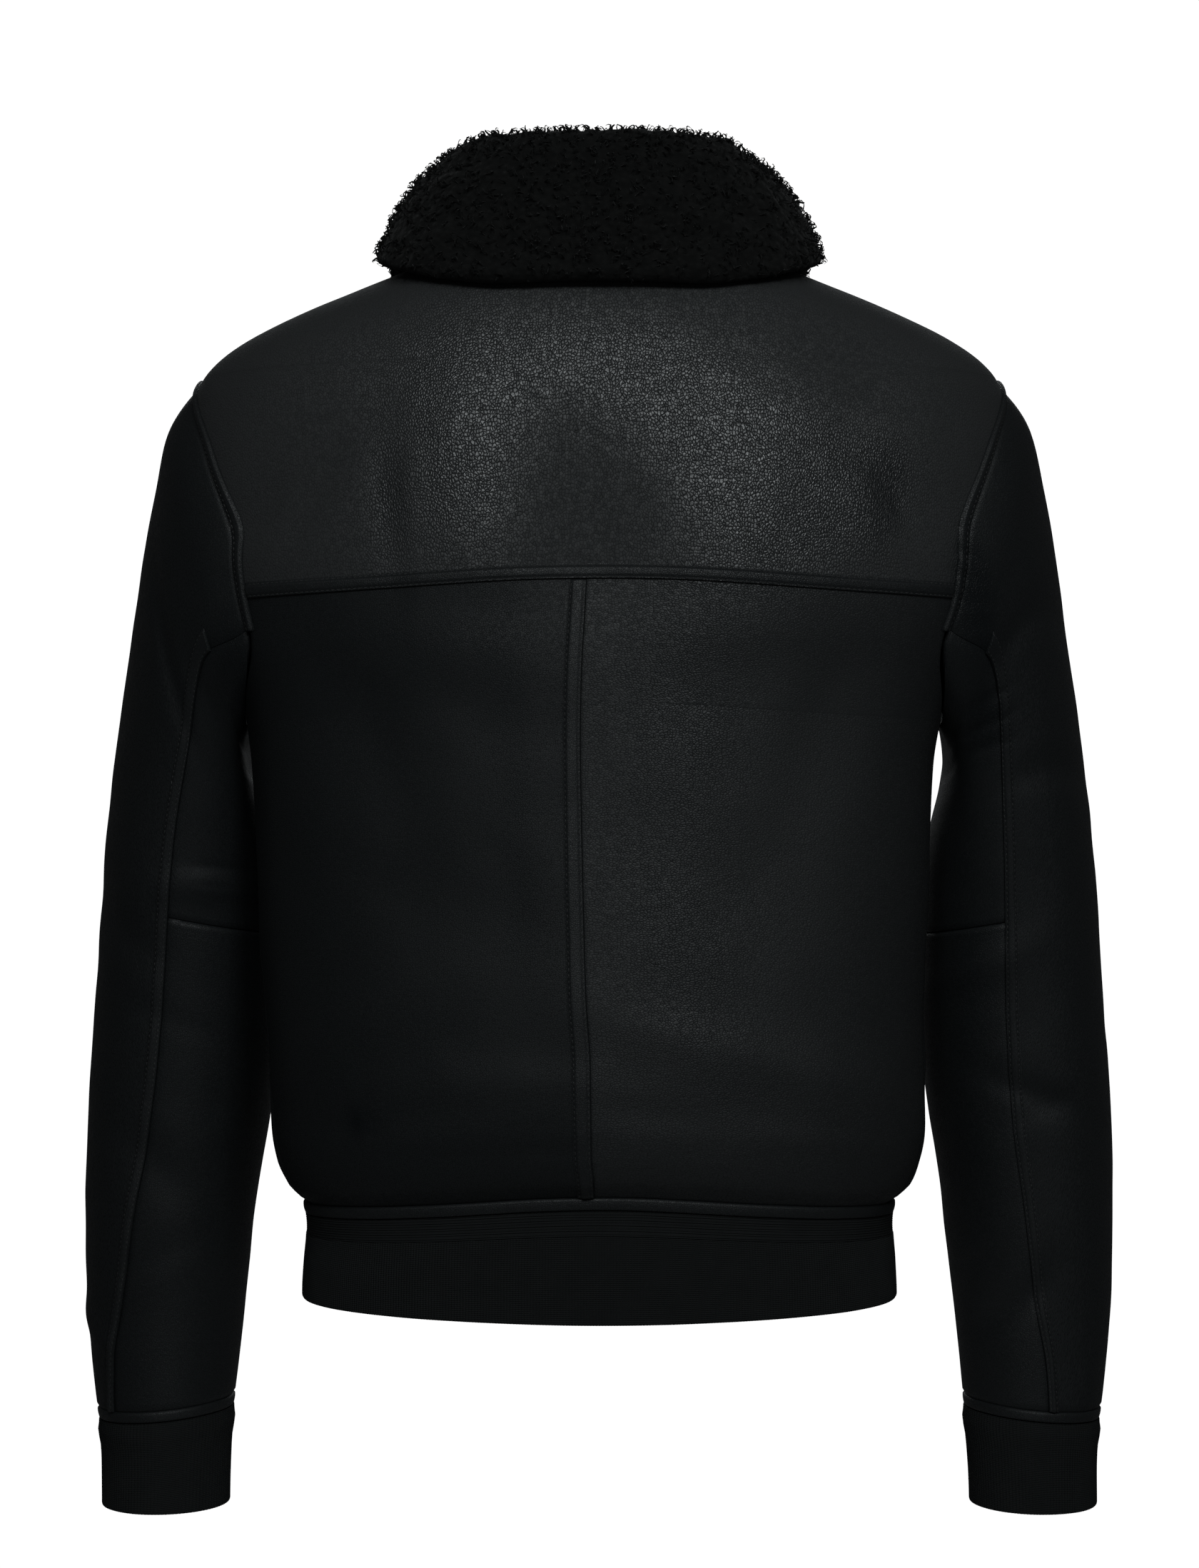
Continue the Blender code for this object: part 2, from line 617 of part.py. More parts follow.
def sleeve_rounds():
    """Angles round the sleeve that its pieces have points at: the body's rows, and its seams."""
    rounds = [mark for mark in ROUNDS if mark is not None]
    behind = sorted(set(rounds) | {SEAM_START - SEAM_STRIP})
    ahead = sorted({360.0 - mark for mark in rounds if mark not in (0.0, 180.0)} | {FRONT_SEAM})
    return np.array(behind + ahead)


def sleeve_grid(side, rounds, rows):
    turn, row = np.meshgrid(rounds, np.array(rows, float))
    points = sleeve(side, turn, row)
    ways = sleeve_normals(side, turn, row)
    shared = armhole_ways(side, rounds)[1]
    apart = np.linalg.norm(points - armhole(side, rounds)[None], axis=-1)
    weight = np.exp(-((apart / 0.02) ** 2))[..., None]
    weight = weight * (row < 3)[..., None]
    return points, unit(ways * (1 - weight) + shared[None] * weight)


def make_sleeve(side, name):
    rounds = sleeve_rounds()
    ahead = rounds[rounds >= FRONT_SEAM] - 360.0
    upper = np.concatenate([ahead, rounds[rounds <= SEAM_START]])
    under = rounds[(rounds >= SEAM_START) & (rounds <= FRONT_SEAM)]
    points, ways = sleeve_grid(side, upper, SLEEVE_ROWS)
    panel(f"upper_sleeve_{name}", points, ways, SHEARLING, LEATHER)
    cross = SLEEVE_ROWS.index(CROSS_SEAM_ROW)
    points, ways = sleeve_grid(side, under, SLEEVE_ROWS[: cross + 1])
    panel(f"under_sleeve_top_{name}", points, ways, SHEARLING, LEATHER)
    points, ways = sleeve_grid(side, under, SLEEVE_ROWS[cross:])
    panel(f"under_sleeve_low_{name}", points, ways, SHEARLING, LEATHER)
    tape = rounds[(rounds >= SEAM_START - SEAM_STRIP) & (rounds <= SEAM_START)]
    points, ways = sleeve_grid(side, tape, SLEEVE_ROWS[3:])
    strip(f"sleeve_strip_{name}", points, ways, TRIM)
    points, ways = sleeve_grid(side, rounds, (LEATHER_END_ROW, WELT_END_ROW))
    panel(f"cuff_welt_{name}", points, ways, RIB, TRIM, closed=True)
    points, ways = sleeve_grid(side, rounds, CUFF_ROWS)
    panel(f"cuff_rib_{name}", points, ways, RIB, KNIT, closed=True)


def hermite(t, start, end, leave, arrive):
    """A cubic from start to end that leaves and arrives with the slopes given."""
    first = (1 + 2 * t) * (1 - t) ** 2 * start + t * (1 - t) ** 2 * leave
    return first + t**2 * (3 - 2 * t) * end + t**2 * (t - 1) * arrive


def collar_path(angle, part):
    """Reach and height along the collar's middle: up the stand, over the fold, down the fall."""
    turned = np.abs(angle)
    neck = body(angle, np.full(np.shape(angle), NECK))
    neck_reach = np.hypot(neck[..., 0], neck[..., 1]) + COLLAR / 2 - SHEARLING
    neck_z = neck[..., 2] + COLLAR / 2 + 0.001
    fold_reach, fold_z = smooth(COLLAR_RIM, "fold_reach", turned), smooth(COLLAR_RIM, "fold_z", turned)
    ring = smooth(COLLAR_RIM, "edge_ring", turned)
    edge = body(angle, ring) + body_normals(angle, ring) * (COLLAR / 2 + COLLAR_CLEAR)
    edge_reach, edge_z = np.hypot(edge[..., 0], edge[..., 1]), edge[..., 2]
    across = (edge_reach - neck_reach) * 1.25
    rise, drop = fold_z - neck_z, fold_z - edge_z
    up, down = np.clip(part / 0.45, 0, 1), np.clip((part - 0.45) / 0.55, 0, 1)
    stand_reach = hermite(up, neck_reach, fold_reach, 0.1 * across, 0.62 * across)
    stand_z = hermite(up, neck_z, fold_z, 1.5 * rise, 0.0)
    fall_reach = hermite(down, fold_reach, edge_reach, 0.72 * across, 0.30 * across)
    fall_z = hermite(down, fold_z, edge_z, 0.0, -1.15 * drop)
    rising = part <= 0.45
    return np.where(rising, stand_reach, fall_reach), np.where(rising, stand_z, fall_z)


def make_collar():
    angles = np.linspace(-COLLAR_END, COLLAR_END, COLLAR_STEPS + 1)
    part, angle = np.meshgrid(np.linspace(0, 1, COLLAR_ROWS + 1), angles)
    reach, height = collar_path(angle, part)
    ahead = collar_path(angle, part + 0.002)
    behind = collar_path(angle, part - 0.002)
    along = unit(np.stack([ahead[0] - behind[0], ahead[1] - behind[1]], axis=-1))
    half = COLLAR / 2
    sides = []
    for way in (1, -1):
        out = reach - way * along[..., 1] * half
        up = height + way * along[..., 0] * half
        turn = np.radians(angle)
        sides.append(np.stack([out * np.sin(turn), out * np.cos(turn), up], axis=-1))
    wall("collar", sides[0], sides[1], WOOL, sides[0])


def zip_heights():
    return np.concatenate([RIB_HEIGHTS[:-1], [RIB_TOP], HEIGHTS])


def make_zip():
    heights = zip_heights()
    outer = zip_angle(ZIP_HALF, heights)
    inner = zip_angle(CHAIN_HALF, heights)
    for side, name in ((1, "zip_tape_left"), (-1, "zip_tape_right")):
        angles = side * np.stack([outer, inner], axis=1)
        points, ways = body_grid(angles, heights)
        moved = draw_in(points, False)
        wall(name, moved - ways * TAPE_SUNK, moved - ways * (TAPE_SUNK + TAPE), KNIT, points)
    angles = np.stack([inner, np.full(len(heights), 180.0), 360.0 - inner], axis=1)
    points, ways = body_grid(angles, heights)
    moved = draw_in(points, False)
    wall("zip_chain", moved - ways * CHAIN_SUNK, moved - ways * (CHAIN_SUNK + CHAIN), METAL, points)


def box(name, size, place, tilt, finish, bevel):
    """A bevelled block, tilted about X."""
    bpy.ops.mesh.primitive_cube_add(size=1, location=place, rotation=(tilt, 0, 0))
    part = bpy.context.active_object
    part.name = name
    part.data.name = name
    part.scale = size
    bpy.ops.object.transform_apply(location=False, rotation=False, scale=True)
    edge = part.modifiers.new("edge", "BEVEL")
    edge.width = bevel
    edge.segments = 2
    part.data.materials.append(material(finish))
    for group in part.users_collection:
        group.objects.unlink(part)
    bpy.data.collections[COLLECTION].objects.link(part)
    return part


def front_line(z):
    """Depth of the chain's face where the front's middle passes this z."""
    heights = np.linspace(ARMPIT, NECK, 400)
    middle = body(np.full(400, 180.0), heights)
    return float(np.interp(z, middle[:, 2], middle[:, 1]))


def make_slider():
    """The slider on the chain, and the pull that hangs from it along the chain."""
    top, foot = SLIDER_Z, SLIDER_Z - PULL_LENGTH
    run = unit(np.array([0.0, front_line(foot) - front_line(top), foot - top]))
    away = np.array([0.0, run[2], -run[1]])
    tilt = math.atan2(run[1], -run[2])
    place = np.array([0.0, front_line(top), top])
    half = SLIDER_DEPTH / 2
    size = (0.0085, SLIDER_DEPTH, 0.0120)
    box("zip_slider", size, place + away * (SEAM_GAP + half), tilt, METAL, 0.0006)
    axis = place + away * (SEAM_GAP + SLIDER_DEPTH + PULL_CLEAR + PULL_DEPTH / 2)
    size = (0.0062, PULL_DEPTH, PULL_LENGTH)
    box("zip_pull", size, axis + run * (PULL_LENGTH / 2 - PULL_END), tilt, METAL, 0.0005)
    return axis


def clear_scene():
    for thing in list(bpy.data.objects):
        bpy.data.objects.remove(thing, do_unlink=True)
    group = bpy.data.collections.new(COLLECTION)
    bpy.context.scene.collection.children.link(group)


def main():
    clear_scene()
    make_back()
    make_back_strips()
    make_fronts()
    make_hem()
    for side, name in ((1, "left"), (-1, "right")):
        make_sleeve(side, name)
    make_collar()
    make_zip()
    make_slider()


main()
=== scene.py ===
"""Looks of a black shearling flight jacket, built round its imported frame.

Metres, +Z up; the jacket's back faces +Y and the wearer's left is +X. The garment's two smooth
surfaces, the body and the sleeves, are worked out from short tables. Each piece of leather is a
thin shell on one of them: a fine outer grid with soft creases and rolled seams, and a woolly
inner side. Strips, stitches, knitted ribs and the collar's curls are laid on the same surfaces.
"""

import math

import bpy
import numpy as np
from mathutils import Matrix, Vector


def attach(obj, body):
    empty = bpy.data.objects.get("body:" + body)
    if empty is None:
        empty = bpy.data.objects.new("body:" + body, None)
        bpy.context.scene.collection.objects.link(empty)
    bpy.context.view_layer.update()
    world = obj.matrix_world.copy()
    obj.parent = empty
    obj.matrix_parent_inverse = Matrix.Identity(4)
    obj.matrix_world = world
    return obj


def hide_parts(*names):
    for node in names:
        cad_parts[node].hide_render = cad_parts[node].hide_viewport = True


bl_info = {
    "name": "Shearling Jacket Looks",
    "version": (1, 0, 0),
    "blender": (4, 5, 0),
    "location": "View3D > Sidebar > Jacket",
    "description": "Dresses the jacket's frame in leather, wool, knit and metal",
    "category": "Object",
}

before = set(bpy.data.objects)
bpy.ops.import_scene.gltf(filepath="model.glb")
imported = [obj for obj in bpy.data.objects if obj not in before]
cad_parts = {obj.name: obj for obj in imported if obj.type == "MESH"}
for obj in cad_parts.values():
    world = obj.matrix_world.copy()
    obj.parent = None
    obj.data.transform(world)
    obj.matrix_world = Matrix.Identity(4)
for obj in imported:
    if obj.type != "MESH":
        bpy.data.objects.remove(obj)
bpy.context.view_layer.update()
JACKET = "jacket"
PULL = "pull"

# Thicknesses and gaps
SHEARLING = 0.006
STRIP = 0.0016
RIB = 0.0035
TAPE = 0.0012
TAPE_SUNK = 0.0012
CHAIN = 0.0024
CHAIN_SUNK = 0.0004
COLLAR = 0.011
SEAM_GAP = 0.0003

# Seams of the body, as heights of its rings
HEM = -0.5800
RIB_TOP = -0.5310
WELT_TOP = -0.5240
YOKE_SEAM = -0.1720
STRIP_HALF = 0.0045
ARMPIT = -0.2450
SHOULDER_TIP = -0.0440
NECK = 0.0300
SHOULDER_SEAM_AT_NECK = 97.0
BACK_POWER = 2.5
FRONT_POWER = 2.0

# Seams of the sleeve, as angles round it and rows down it
SEAM_START = 120.0
SEAM_STRIP = 8.5
FRONT_SEAM = 255.0
CROSS_SEAM_ROW = 7.0
LEATHER_END_ROW = 14.0
WELT_END_ROW = 15.0
CENTRE_STRIP = 4.8
EDGE_STRIP = 1.8
STRIP_START_ROW = 1.5

COLLAR_CLEAR = 0.0020
COLLAR_END = 166.0

# Zip
ZIP_HALF = 0.0120
CHAIN_HALF = 0.0034
SLIDER_Z = -0.0950
PULL_LENGTH = 0.0300
SLIDER_DEPTH = 0.0024
PULL_DEPTH = 0.0016
PULL_CLEAR = 0.0006
PULL_END = 0.0007
SLIDER_HALF = (0.00425, 0.0060)
SLIDER_WAIST = 0.18
PULL_HALF = (0.0031, 0.0150)
PULL_NARROW = 0.20
TOOTH_PITCH = 0.0028
TOOTH_HALF = (TOOTH_PITCH * 0.36, 0.0021, CHAIN / 2 - 0.0001)
TOOTH_SHAPE = (1.25, 0.8)
TOOTH_ASIDE = 0.0011
TOOTH_BEVEL = 0.0002

# Steps between the points that a surface's normal is taken from, in degrees, metres and rows
ANGLE_STEP = 0.05
HEIGHT_STEP = 0.0001
ROW_STEP = 0.002

# What turns a fold's place into metres: mean radius of the body and of a sleeve, and one row
BODY_RADIUS = 0.14
SLEEVE_RADIUS = 0.06
ROW_LENGTH = 0.045

# Where the sleeve meets the armhole: the row beside it, the rows over which the sleeve bends to
# it, how far the twist eases at the armpit, the row from which folds are whole, and the widths
# over which the two walls share the way that they are thick
ARMHOLE_ROW = 0.05
ARMHOLE_ROWS = 3.2
TWIST_EASE = 0.35
FOLDS_WHOLE_ROW = 1.5
BODY_BLEND = 0.012
SLEEVE_BLEND = 0.02

# Collar: the share of its path up to the fold, and the slopes at which its stand and its fall
# leave and arrive, as shares of the reach and of the rise or drop
COLLAR_FOLD = 0.45
COLLAR_STRETCH = 1.25
STAND_OUT = (0.1, 0.62)
STAND_UP = 1.5
FALL_OUT = (0.72, 0.30)
FALL_DOWN = -1.15

# Unevenness: height, size and seed of each set of lumps
LEATHER_LUMPS = ((0.0007, 0.055, 11), (0.0003, 0.021, 12))
COLLAR_LUMPS = ((0.0013, 0.010, 41), (0.0009, 0.0048, 42))
LATTICE_VALUES = 8192
LATTICE_STEPS = (73856093, 19349663, 83492791)

SIDES = ((1, "left"), (-1, "right"))

# Radii of rolled edges: at the first row, last row, first column and last column
RIMS = {
    "back": (0.0012, 0.0006, 0.0012, 0.0026),
    "back_yoke": (0.0006, 0.0010, 0.0024, 0.0024),
    "front": (0.0022, 0.0010, 0.0024, 0.0022),
    "upper_sleeve": (0.0016, 0.0010, 0.0016, 0.0012),
    "under_sleeve_top": (0.0016, 0.0010, 0.0006, 0.0016),
    "under_sleeve_low": (0.0018, 0.0010, 0.0006, 0.0016),
    "hem_welt": (0.0009, 0.0009, 0.0010, 0.0010),
    "cuff_welt": (0.0009, 0.0009),
}
SHARP_ANGLE = 48

# Sewing: the angle that a seam lies under its strip, and the stitches
SEAM_UNDER_STRIP = 0.8
STITCH_PITCH = 0.0033
STITCH_LENGTH = 0.0021
STITCH_WIDTH = 0.00075
STITCH_HEIGHT = 0.00050
STITCH_IN = 0.0015
STITCH_LIFT = 0.0001
STITCH_RINGS = 5
STITCH_SIDES = 6
STITCH_ENDS = 0.18
STITCH_LOOK = 0.0006
GROOVES = (0.0006, 0.0005)
GROOVE_WIDTH = 0.0007
STRIP_RUN_OUT = 0.0026
STRIP_THINNEST = 0.00015
STRIP_PUFF = 0.00035
STRIP_END_RADIUS = 0.0008
HEM_WELT_PUFF = 0.0006
CUFF_WELT_PUFF = 0.0004

# Knit and wool
RIB_RIDGE = 0.00045
HEM_RIBS = 540
CUFF_RIBS = 128
KNIT_TURN = -0.5430
KNIT_COURSES = 9
KNIT_WALE = 0.0018
KNIT_LOOP = 0.0011
HEM_FOLD = (0, 0.0002, 0.0006, 0.0012, 0.0018)
HEM_FOLD_TOP = 0.006
CUFF_FOLD_ROWS = (16.85, 16.90, 16.95, 16.98, 17.0)
CUFF_GATHER = 0.0012
CUFF_GATHER_ROW = 15.35
CUFF_GATHER_WIDTH = 0.18
CURL_LENGTH = (0.0040, 0.0068)
CURL_WIDTH = (0.0011, 0.0021)
CURL_RINGS = 5
CURL_SIDES = 3
CURL_RISE = 0.62
CURL_TURN = 2.2
CURL_RUN = 0.55
CURL_SWAY = 0.24
CURL_WAVE = 5.2
CURL_SUNK = 0.12
CURL_TAPER = 0.85
CURL_FLAT = 0.7
CURL_SEED = 7

# Numbers of steps
BACK_COLUMNS = 96
FRONT_COLUMNS = 72
SLEEVE_COLUMNS = 90
STRIP_COLUMNS = 14
STRIP_PITCH = 0.0012
COLLAR_STEPS = 264
COLLAR_ROWS = 84
YOKE_STRIP_COLUMNS = 260
HEM_WELT_COLUMNS = 420
CUFF_WELT_COLUMNS = 150
WELT_ROWS = 10
KNIT_TOP_COLUMNS = 520
TAPE_ROWS = 260
FLOOR_SIDES = 96

# The photograph's camera: its place and lens, with a 36 mm sensor along the picture's height
CAMERA_PLACE = (0.0, 2.2, -0.2808)
CAMERA_LENS = 85.8
SENSOR = 36.0

# Colours
LEATHER_DARK = (0.0086, 0.0098, 0.0104)
LEATHER_WORN = (0.0046, 0.0058, 0.0066)
# Painted shade: the cracks between grain cells are coloured near black to stand for the shade in them
LEATHER_CRACK_SHADE = (0.0008, 0.0010, 0.0012)
CRACK_ROUGH = 0.9
WOOL_DARK = (0.0016, 0.0017, 0.0016)
WOOL_TIP = (0.0060, 0.0062, 0.0058)
KNIT_DARK = (0.0090, 0.0098, 0.0100)
KNIT_LIGHT = (0.0140, 0.0150, 0.0152)
THREAD_DARK = (0.0030, 0.0032, 0.0034)
THREAD_LIGHT = (0.0140, 0.0150, 0.0155)
METAL_DARK = (0.10, 0.10, 0.105)
METAL_LIGHT = (0.30, 0.30, 0.31)

# Lights: place, the point aimed at, width and height, and power
SOFTBOXES = (
    ("softbox_left", (0.40, 2.60, 1.28), (0.05, 0.11, -0.10), (0.40, 0.80), 20.0),
    ("softbox_right", (-0.80, 2.55, 1.22), (-0.08, 0.11, -0.10), (0.65, 0.75), 25.0),
    ("softbox_top", (0.0, 1.60, 2.20), (0.0, 0.10, -0.05), (0.9, 0.5), 2.5),
    ("strip_right", (-0.26, 3.00, -0.25), (-0.05, 0.12, -0.35), (0.22, 1.0), 1.6),
    ("softbox_front", (0.0, -2.60, 1.00), (0.0, -0.10, -0.20), (2.0, 1.6), 18.0),
)
LIGHT_COLOUR = (0.93, 0.985, 1.0)
FLOOR_Z = -1.05
FLOOR_RADIUS = 1.5
FLOOR_THICK = 0.01
FLOOR_FADES_FROM = 0.55
FLOOR_DARK = (0.78, 0.78, 0.78)
FLOOR_LIGHT = (0.82, 0.82, 0.82)
PAPER_STRENGTH = 1.05
PAPER_COLOUR = (1, 1, 1, 1)
SURROUND_COLOUR = (0.95, 0.98, 1, 1)

# Rings of the body: height of the ring at the sides, half width, depth behind and in front of
# the origin, how much the ring is raised at the middle of the back and of the front, and how
# far it is moved to the wearer's left.
BODY = (
    ("height", "half_width", "back_depth", "front_depth", "back_lift", "front_lift", "shift"),
    (-0.600, 0.1740, 0.1110, 0.1080, -0.008, 0.000, 0.0000),
    (-0.580, 0.1740, 0.1120, 0.1090, -0.004, 0.000, 0.0000),
    (-0.560, 0.1730, 0.1120, 0.1090, 0.003, 0.000, 0.0000),
    (-0.540, 0.1715, 0.1110, 0.1085, 0.010, 0.000, 0.0000),
    (-0.524, 0.1735, 0.1130, 0.1110, 0.012, 0.000, 0.0000),
    (-0.514, 0.1820, 0.1210, 0.1180, 0.012, 0.000, 0.0000),
    (-0.500, 0.1875, 0.1270, 0.1220, 0.012, 0.000, 0.0010),
    (-0.484, 0.1900, 0.1300, 0.1240, 0.012, 0.000, 0.0010),
    (-0.449, 0.1915, 0.1315, 0.1250, 0.011, 0.000, 0.0010),
    (-0.406, 0.1930, 0.1310, 0.1245, 0.011, 0.000, 0.0030),
    (-0.366, 0.1955, 0.1295, 0.1235, 0.011, 0.000, 0.0035),
    (-0.300, 0.1980, 0.1270, 0.1215, 0.010, 0.000, 0.0040),
    (-0.270, 0.1995, 0.1255, 0.1210, 0.010, 0.000, 0.0040),
    (-0.245, 0.2030, 0.1245, 0.1200, 0.010, -0.001, 0.0035),
    (-0.220, 0.2100, 0.1235, 0.1195, 0.010, -0.004, 0.0025),
    (-0.195, 0.2215, 0.1225, 0.1185, 0.010, -0.008, 0.0010),
    (-0.170, 0.2330, 0.1210, 0.1175, 0.010, -0.013, 0.0000),
    (-0.145, 0.2400, 0.1190, 0.1160, 0.009, -0.018, 0.0000),
    (-0.094, 0.2420, 0.1130, 0.1120, 0.008, -0.031, 0.0000),
    (-0.075, 0.2410, 0.1095, 0.1095, 0.008, -0.037, 0.0000),
    (-0.058, 0.2385, 0.1055, 0.1060, 0.008, -0.043, 0.0000),
    (-0.044, 0.2325, 0.1018, 0.1025, 0.007, -0.048, 0.0000),
    (-0.036, 0.2255, 0.0995, 0.1000, 0.007, -0.051, 0.0000),
    (-0.021, 0.2035, 0.0945, 0.0955, 0.007, -0.056, 0.0000),
    (-0.004, 0.1670, 0.0890, 0.0900, 0.006, -0.062, 0.0000),
    (0.013, 0.1250, 0.0800, 0.0830, 0.006, -0.069, 0.0000),
    (0.023, 0.0990, 0.0720, 0.0780, 0.006, -0.073, 0.0000),
    (0.030, 0.0830, 0.0670, 0.0740, 0.006, -0.076, 0.0000),
    (0.036, 0.0720, 0.0630, 0.0710, 0.006, -0.079, 0.0000),
)

# Side seam, as an angle round the body from the middle of the back
SIDE_SEAM = (
    ("height", "angle"),
    (-0.600, 76.0),
    (-0.524, 76.0),
    (-0.450, 79.0),
    (-0.350, 83.0),
    (-0.245, 88.0),
)

# Seam down the middle of the back, which the photograph shows slightly to the left
BACK_SEAM = (
    ("height", "angle"),
    (-0.600, 1.4),
    (-0.524, 1.4),
    (-0.172, 3.2),
    (0.036, 3.2),
)

# Edge of the armhole: the sleeve's own angle (0 at the shoulder tip, 90 at the back, 180 at the
# armpit) against the angle round the body
ARMHOLE = (
    ("round", "angle"),
    (-30.0, 99.5),
    (0.0, 93.0),
    (30.0, 84.0),
    (60.0, 76.2),
    (90.0, 71.4),
    (120.0, 71.4),
    (150.0, 79.0),
    (180.0, 88.0),
    (210.0, 100.0),
    (240.0, 108.5),
    (270.0, 109.5),
    (300.0, 105.5),
    (330.0, 99.5),
    (360.0, 93.0),
    (390.0, 84.0),
)

# Ovals of the sleeve: its outermost and innermost points, the height of each, the oval's
# middle in Y and its half depth. Row 0 is the armhole, row 14 the end of the leather, row 15
# the end of the welt and row 17 the edge of the knitted cuff.
SLEEVE = (
    ("row", "outer_x", "outer_z", "inner_x", "inner_z", "middle_y", "half_depth"),
    (-1, 0.2080, -0.024, 0.1880, -0.228, 0.000, 0.0720),
    (0, 0.2325, -0.044, 0.1965, -0.245, -0.004, 0.0740),
    (1, 0.2518, -0.0695, 0.2050, -0.262, -0.014, 0.0760),
    (2, 0.2620, -0.1026, 0.2060, -0.274, -0.024, 0.0765),
    (3, 0.2715, -0.1447, 0.2040, -0.286, -0.034, 0.0765),
    (4, 0.2800, -0.1958, 0.2005, -0.300, -0.042, 0.0755),
    (5, 0.2880, -0.2471, 0.1970, -0.318, -0.048, 0.0740),
    (6, 0.2950, -0.2986, 0.1945, -0.340, -0.053, 0.0725),
    (7, 0.3003, -0.3503, 0.1935, -0.370, -0.058, 0.0710),
    (8, 0.3040, -0.4020, 0.1935, -0.407, -0.062, 0.0695),
    (9, 0.3074, -0.4450, 0.1955, -0.445, -0.064, 0.0680),
    (10, 0.3093, -0.4794, 0.1998, -0.479, -0.066, 0.0660),
    (11, 0.3110, -0.5311, 0.2080, -0.531, -0.067, 0.0620),
    (12, 0.3104, -0.5828, 0.2135, -0.583, -0.067, 0.0570),
    (13, 0.3080, -0.6172, 0.2170, -0.617, -0.065, 0.0530),
    (14, 0.3032, -0.6560, 0.2204, -0.649, -0.062, 0.0480),
    (15, 0.3018, -0.6630, 0.2212, -0.656, -0.061, 0.0465),
    (16, 0.3000, -0.6900, 0.2228, -0.687, -0.059, 0.0440),
    (17, 0.2996, -0.7150, 0.2236, -0.714, -0.058, 0.0430),
    (18, 0.2996, -0.7300, 0.2236, -0.729, -0.058, 0.0430),
)

# Where the back seam of each sleeve runs, as an angle round the sleeve
SLEEVE_SEAM = (
    ("row", "left", "right"),
    (-1, 122.0, 122.0),
    (0, 120.0, 120.0),
    (2, 104.0, 106.0),
    (4, 95.0, 101.0),
    (6, 86.0, 100.0),
    (8, 83.0, 101.0),
    (10, 80.0, 102.0),
    (12, 66.0, 96.0),
    (14, 50.0, 84.0),
    (18, 46.0, 80.0),
)

# Largest folds of the body: where each lies, its slope from upright in the surface, how long
# and how wide it is, and how far it stands out (or in, when negative)
BODY_FOLDS = (
    ("angle", "height", "slope", "length", "width", "depth"),
    (64.0, -0.120, -32.0, 0.040, 0.012, -0.0045),
    (-62.0, -0.112, 30.0, 0.036, 0.013, -0.0030),
    (30.0, -0.215, 82.0, 0.070, 0.020, 0.0020),
    (-34.0, -0.200, -80.0, 0.080, 0.022, 0.0022),
    (52.0, -0.250, 20.0, 0.070, 0.020, -0.0030),
    (-50.0, -0.260, -18.0, 0.075, 0.022, -0.0030),
    (20.0, -0.460, 84.0, 0.090, 0.018, 0.0022),
    (-28.0, -0.440, 78.0, 0.080, 0.020, 0.0025),
    (-66.0, -0.470, 60.0, 0.050, 0.022, 0.0035),
    (60.0, -0.430, -62.0, 0.060, 0.020, 0.0025),
    (40.0, -0.350, 70.0, 0.080, 0.030, -0.0020),
    (-20.0, -0.330, 64.0, 0.090, 0.032, -0.0020),
    (130.0, -0.300, 65.0, 0.080, 0.024, 0.0025),
    (-135.0, -0.360, 70.0, 0.080, 0.024, 0.0025),
    (140.0, -0.450, 80.0, 0.090, 0.020, 0.0025),
    (-145.0, -0.470, 82.0, 0.080, 0.020, 0.0025),
)

# Largest folds of each sleeve, in the same way, with the angle round the sleeve
SLEEVE_FOLDS = (
    ("side", "angle", "row", "slope", "length", "width", "depth"),
    (1, 62.0, 3.2, 40.0, 0.045, 0.012, -0.0030),
    (1, 40.0, 7.2, 72.0, 0.040, 0.012, -0.0025),
    (1, 110.0, 6.4, -75.0, 0.040, 0.010, 0.0025),
    (1, 92.0, 10.6, 60.0, 0.045, 0.013, -0.0025),
    (1, 300.0, 7.5, 80.0, 0.050, 0.012, -0.0040),
    (1, 250.0, 8.6, 78.0, 0.050, 0.014, 0.0035),
    (1, 20.0, 12.6, 65.0, 0.040, 0.012, 0.0020),
    (-1, 58.0, 3.0, -48.0, 0.045, 0.012, -0.0035),
    (-1, 52.0, 5.2, -66.0, 0.040, 0.011, -0.0030),
    (-1, 118.0, 7.6, 72.0, 0.040, 0.012, 0.0025),
    (-1, 84.0, 9.6, -62.0, 0.045, 0.012, -0.0025),
    (-1, 112.0, 12.2, 55.0, 0.040, 0.011, -0.0035),
    (-1, 300.0, 8.2, 78.0, 0.050, 0.012, -0.0040),
    (-1, 245.0, 7.1, 82.0, 0.050, 0.014, 0.0035),
)

# Collar: angle round the neck from the middle of the back, the reach and height of its fold,
# and the ring of the body that its outer edge lies over
COLLAR_RIM = (
    ("angle", "fold_reach", "fold_z", "edge_ring"),
    (0.0, 0.0850, 0.0840, -0.0060),
    (30.0, 0.0880, 0.0840, -0.0060),
    (46.0, 0.0910, 0.0832, -0.0020),
    (60.0, 0.0925, 0.0775, 0.0050),
    (75.0, 0.0930, 0.0690, 0.0120),
    (90.0, 0.0935, 0.0590, 0.0165),
    (110.0, 0.0940, 0.0410, 0.0110),
    (130.0, 0.0925, 0.0150, 0.0020),
    (150.0, 0.0900, -0.0080, -0.0140),
    (166.0, 0.0890, -0.0210, -0.0340),
)

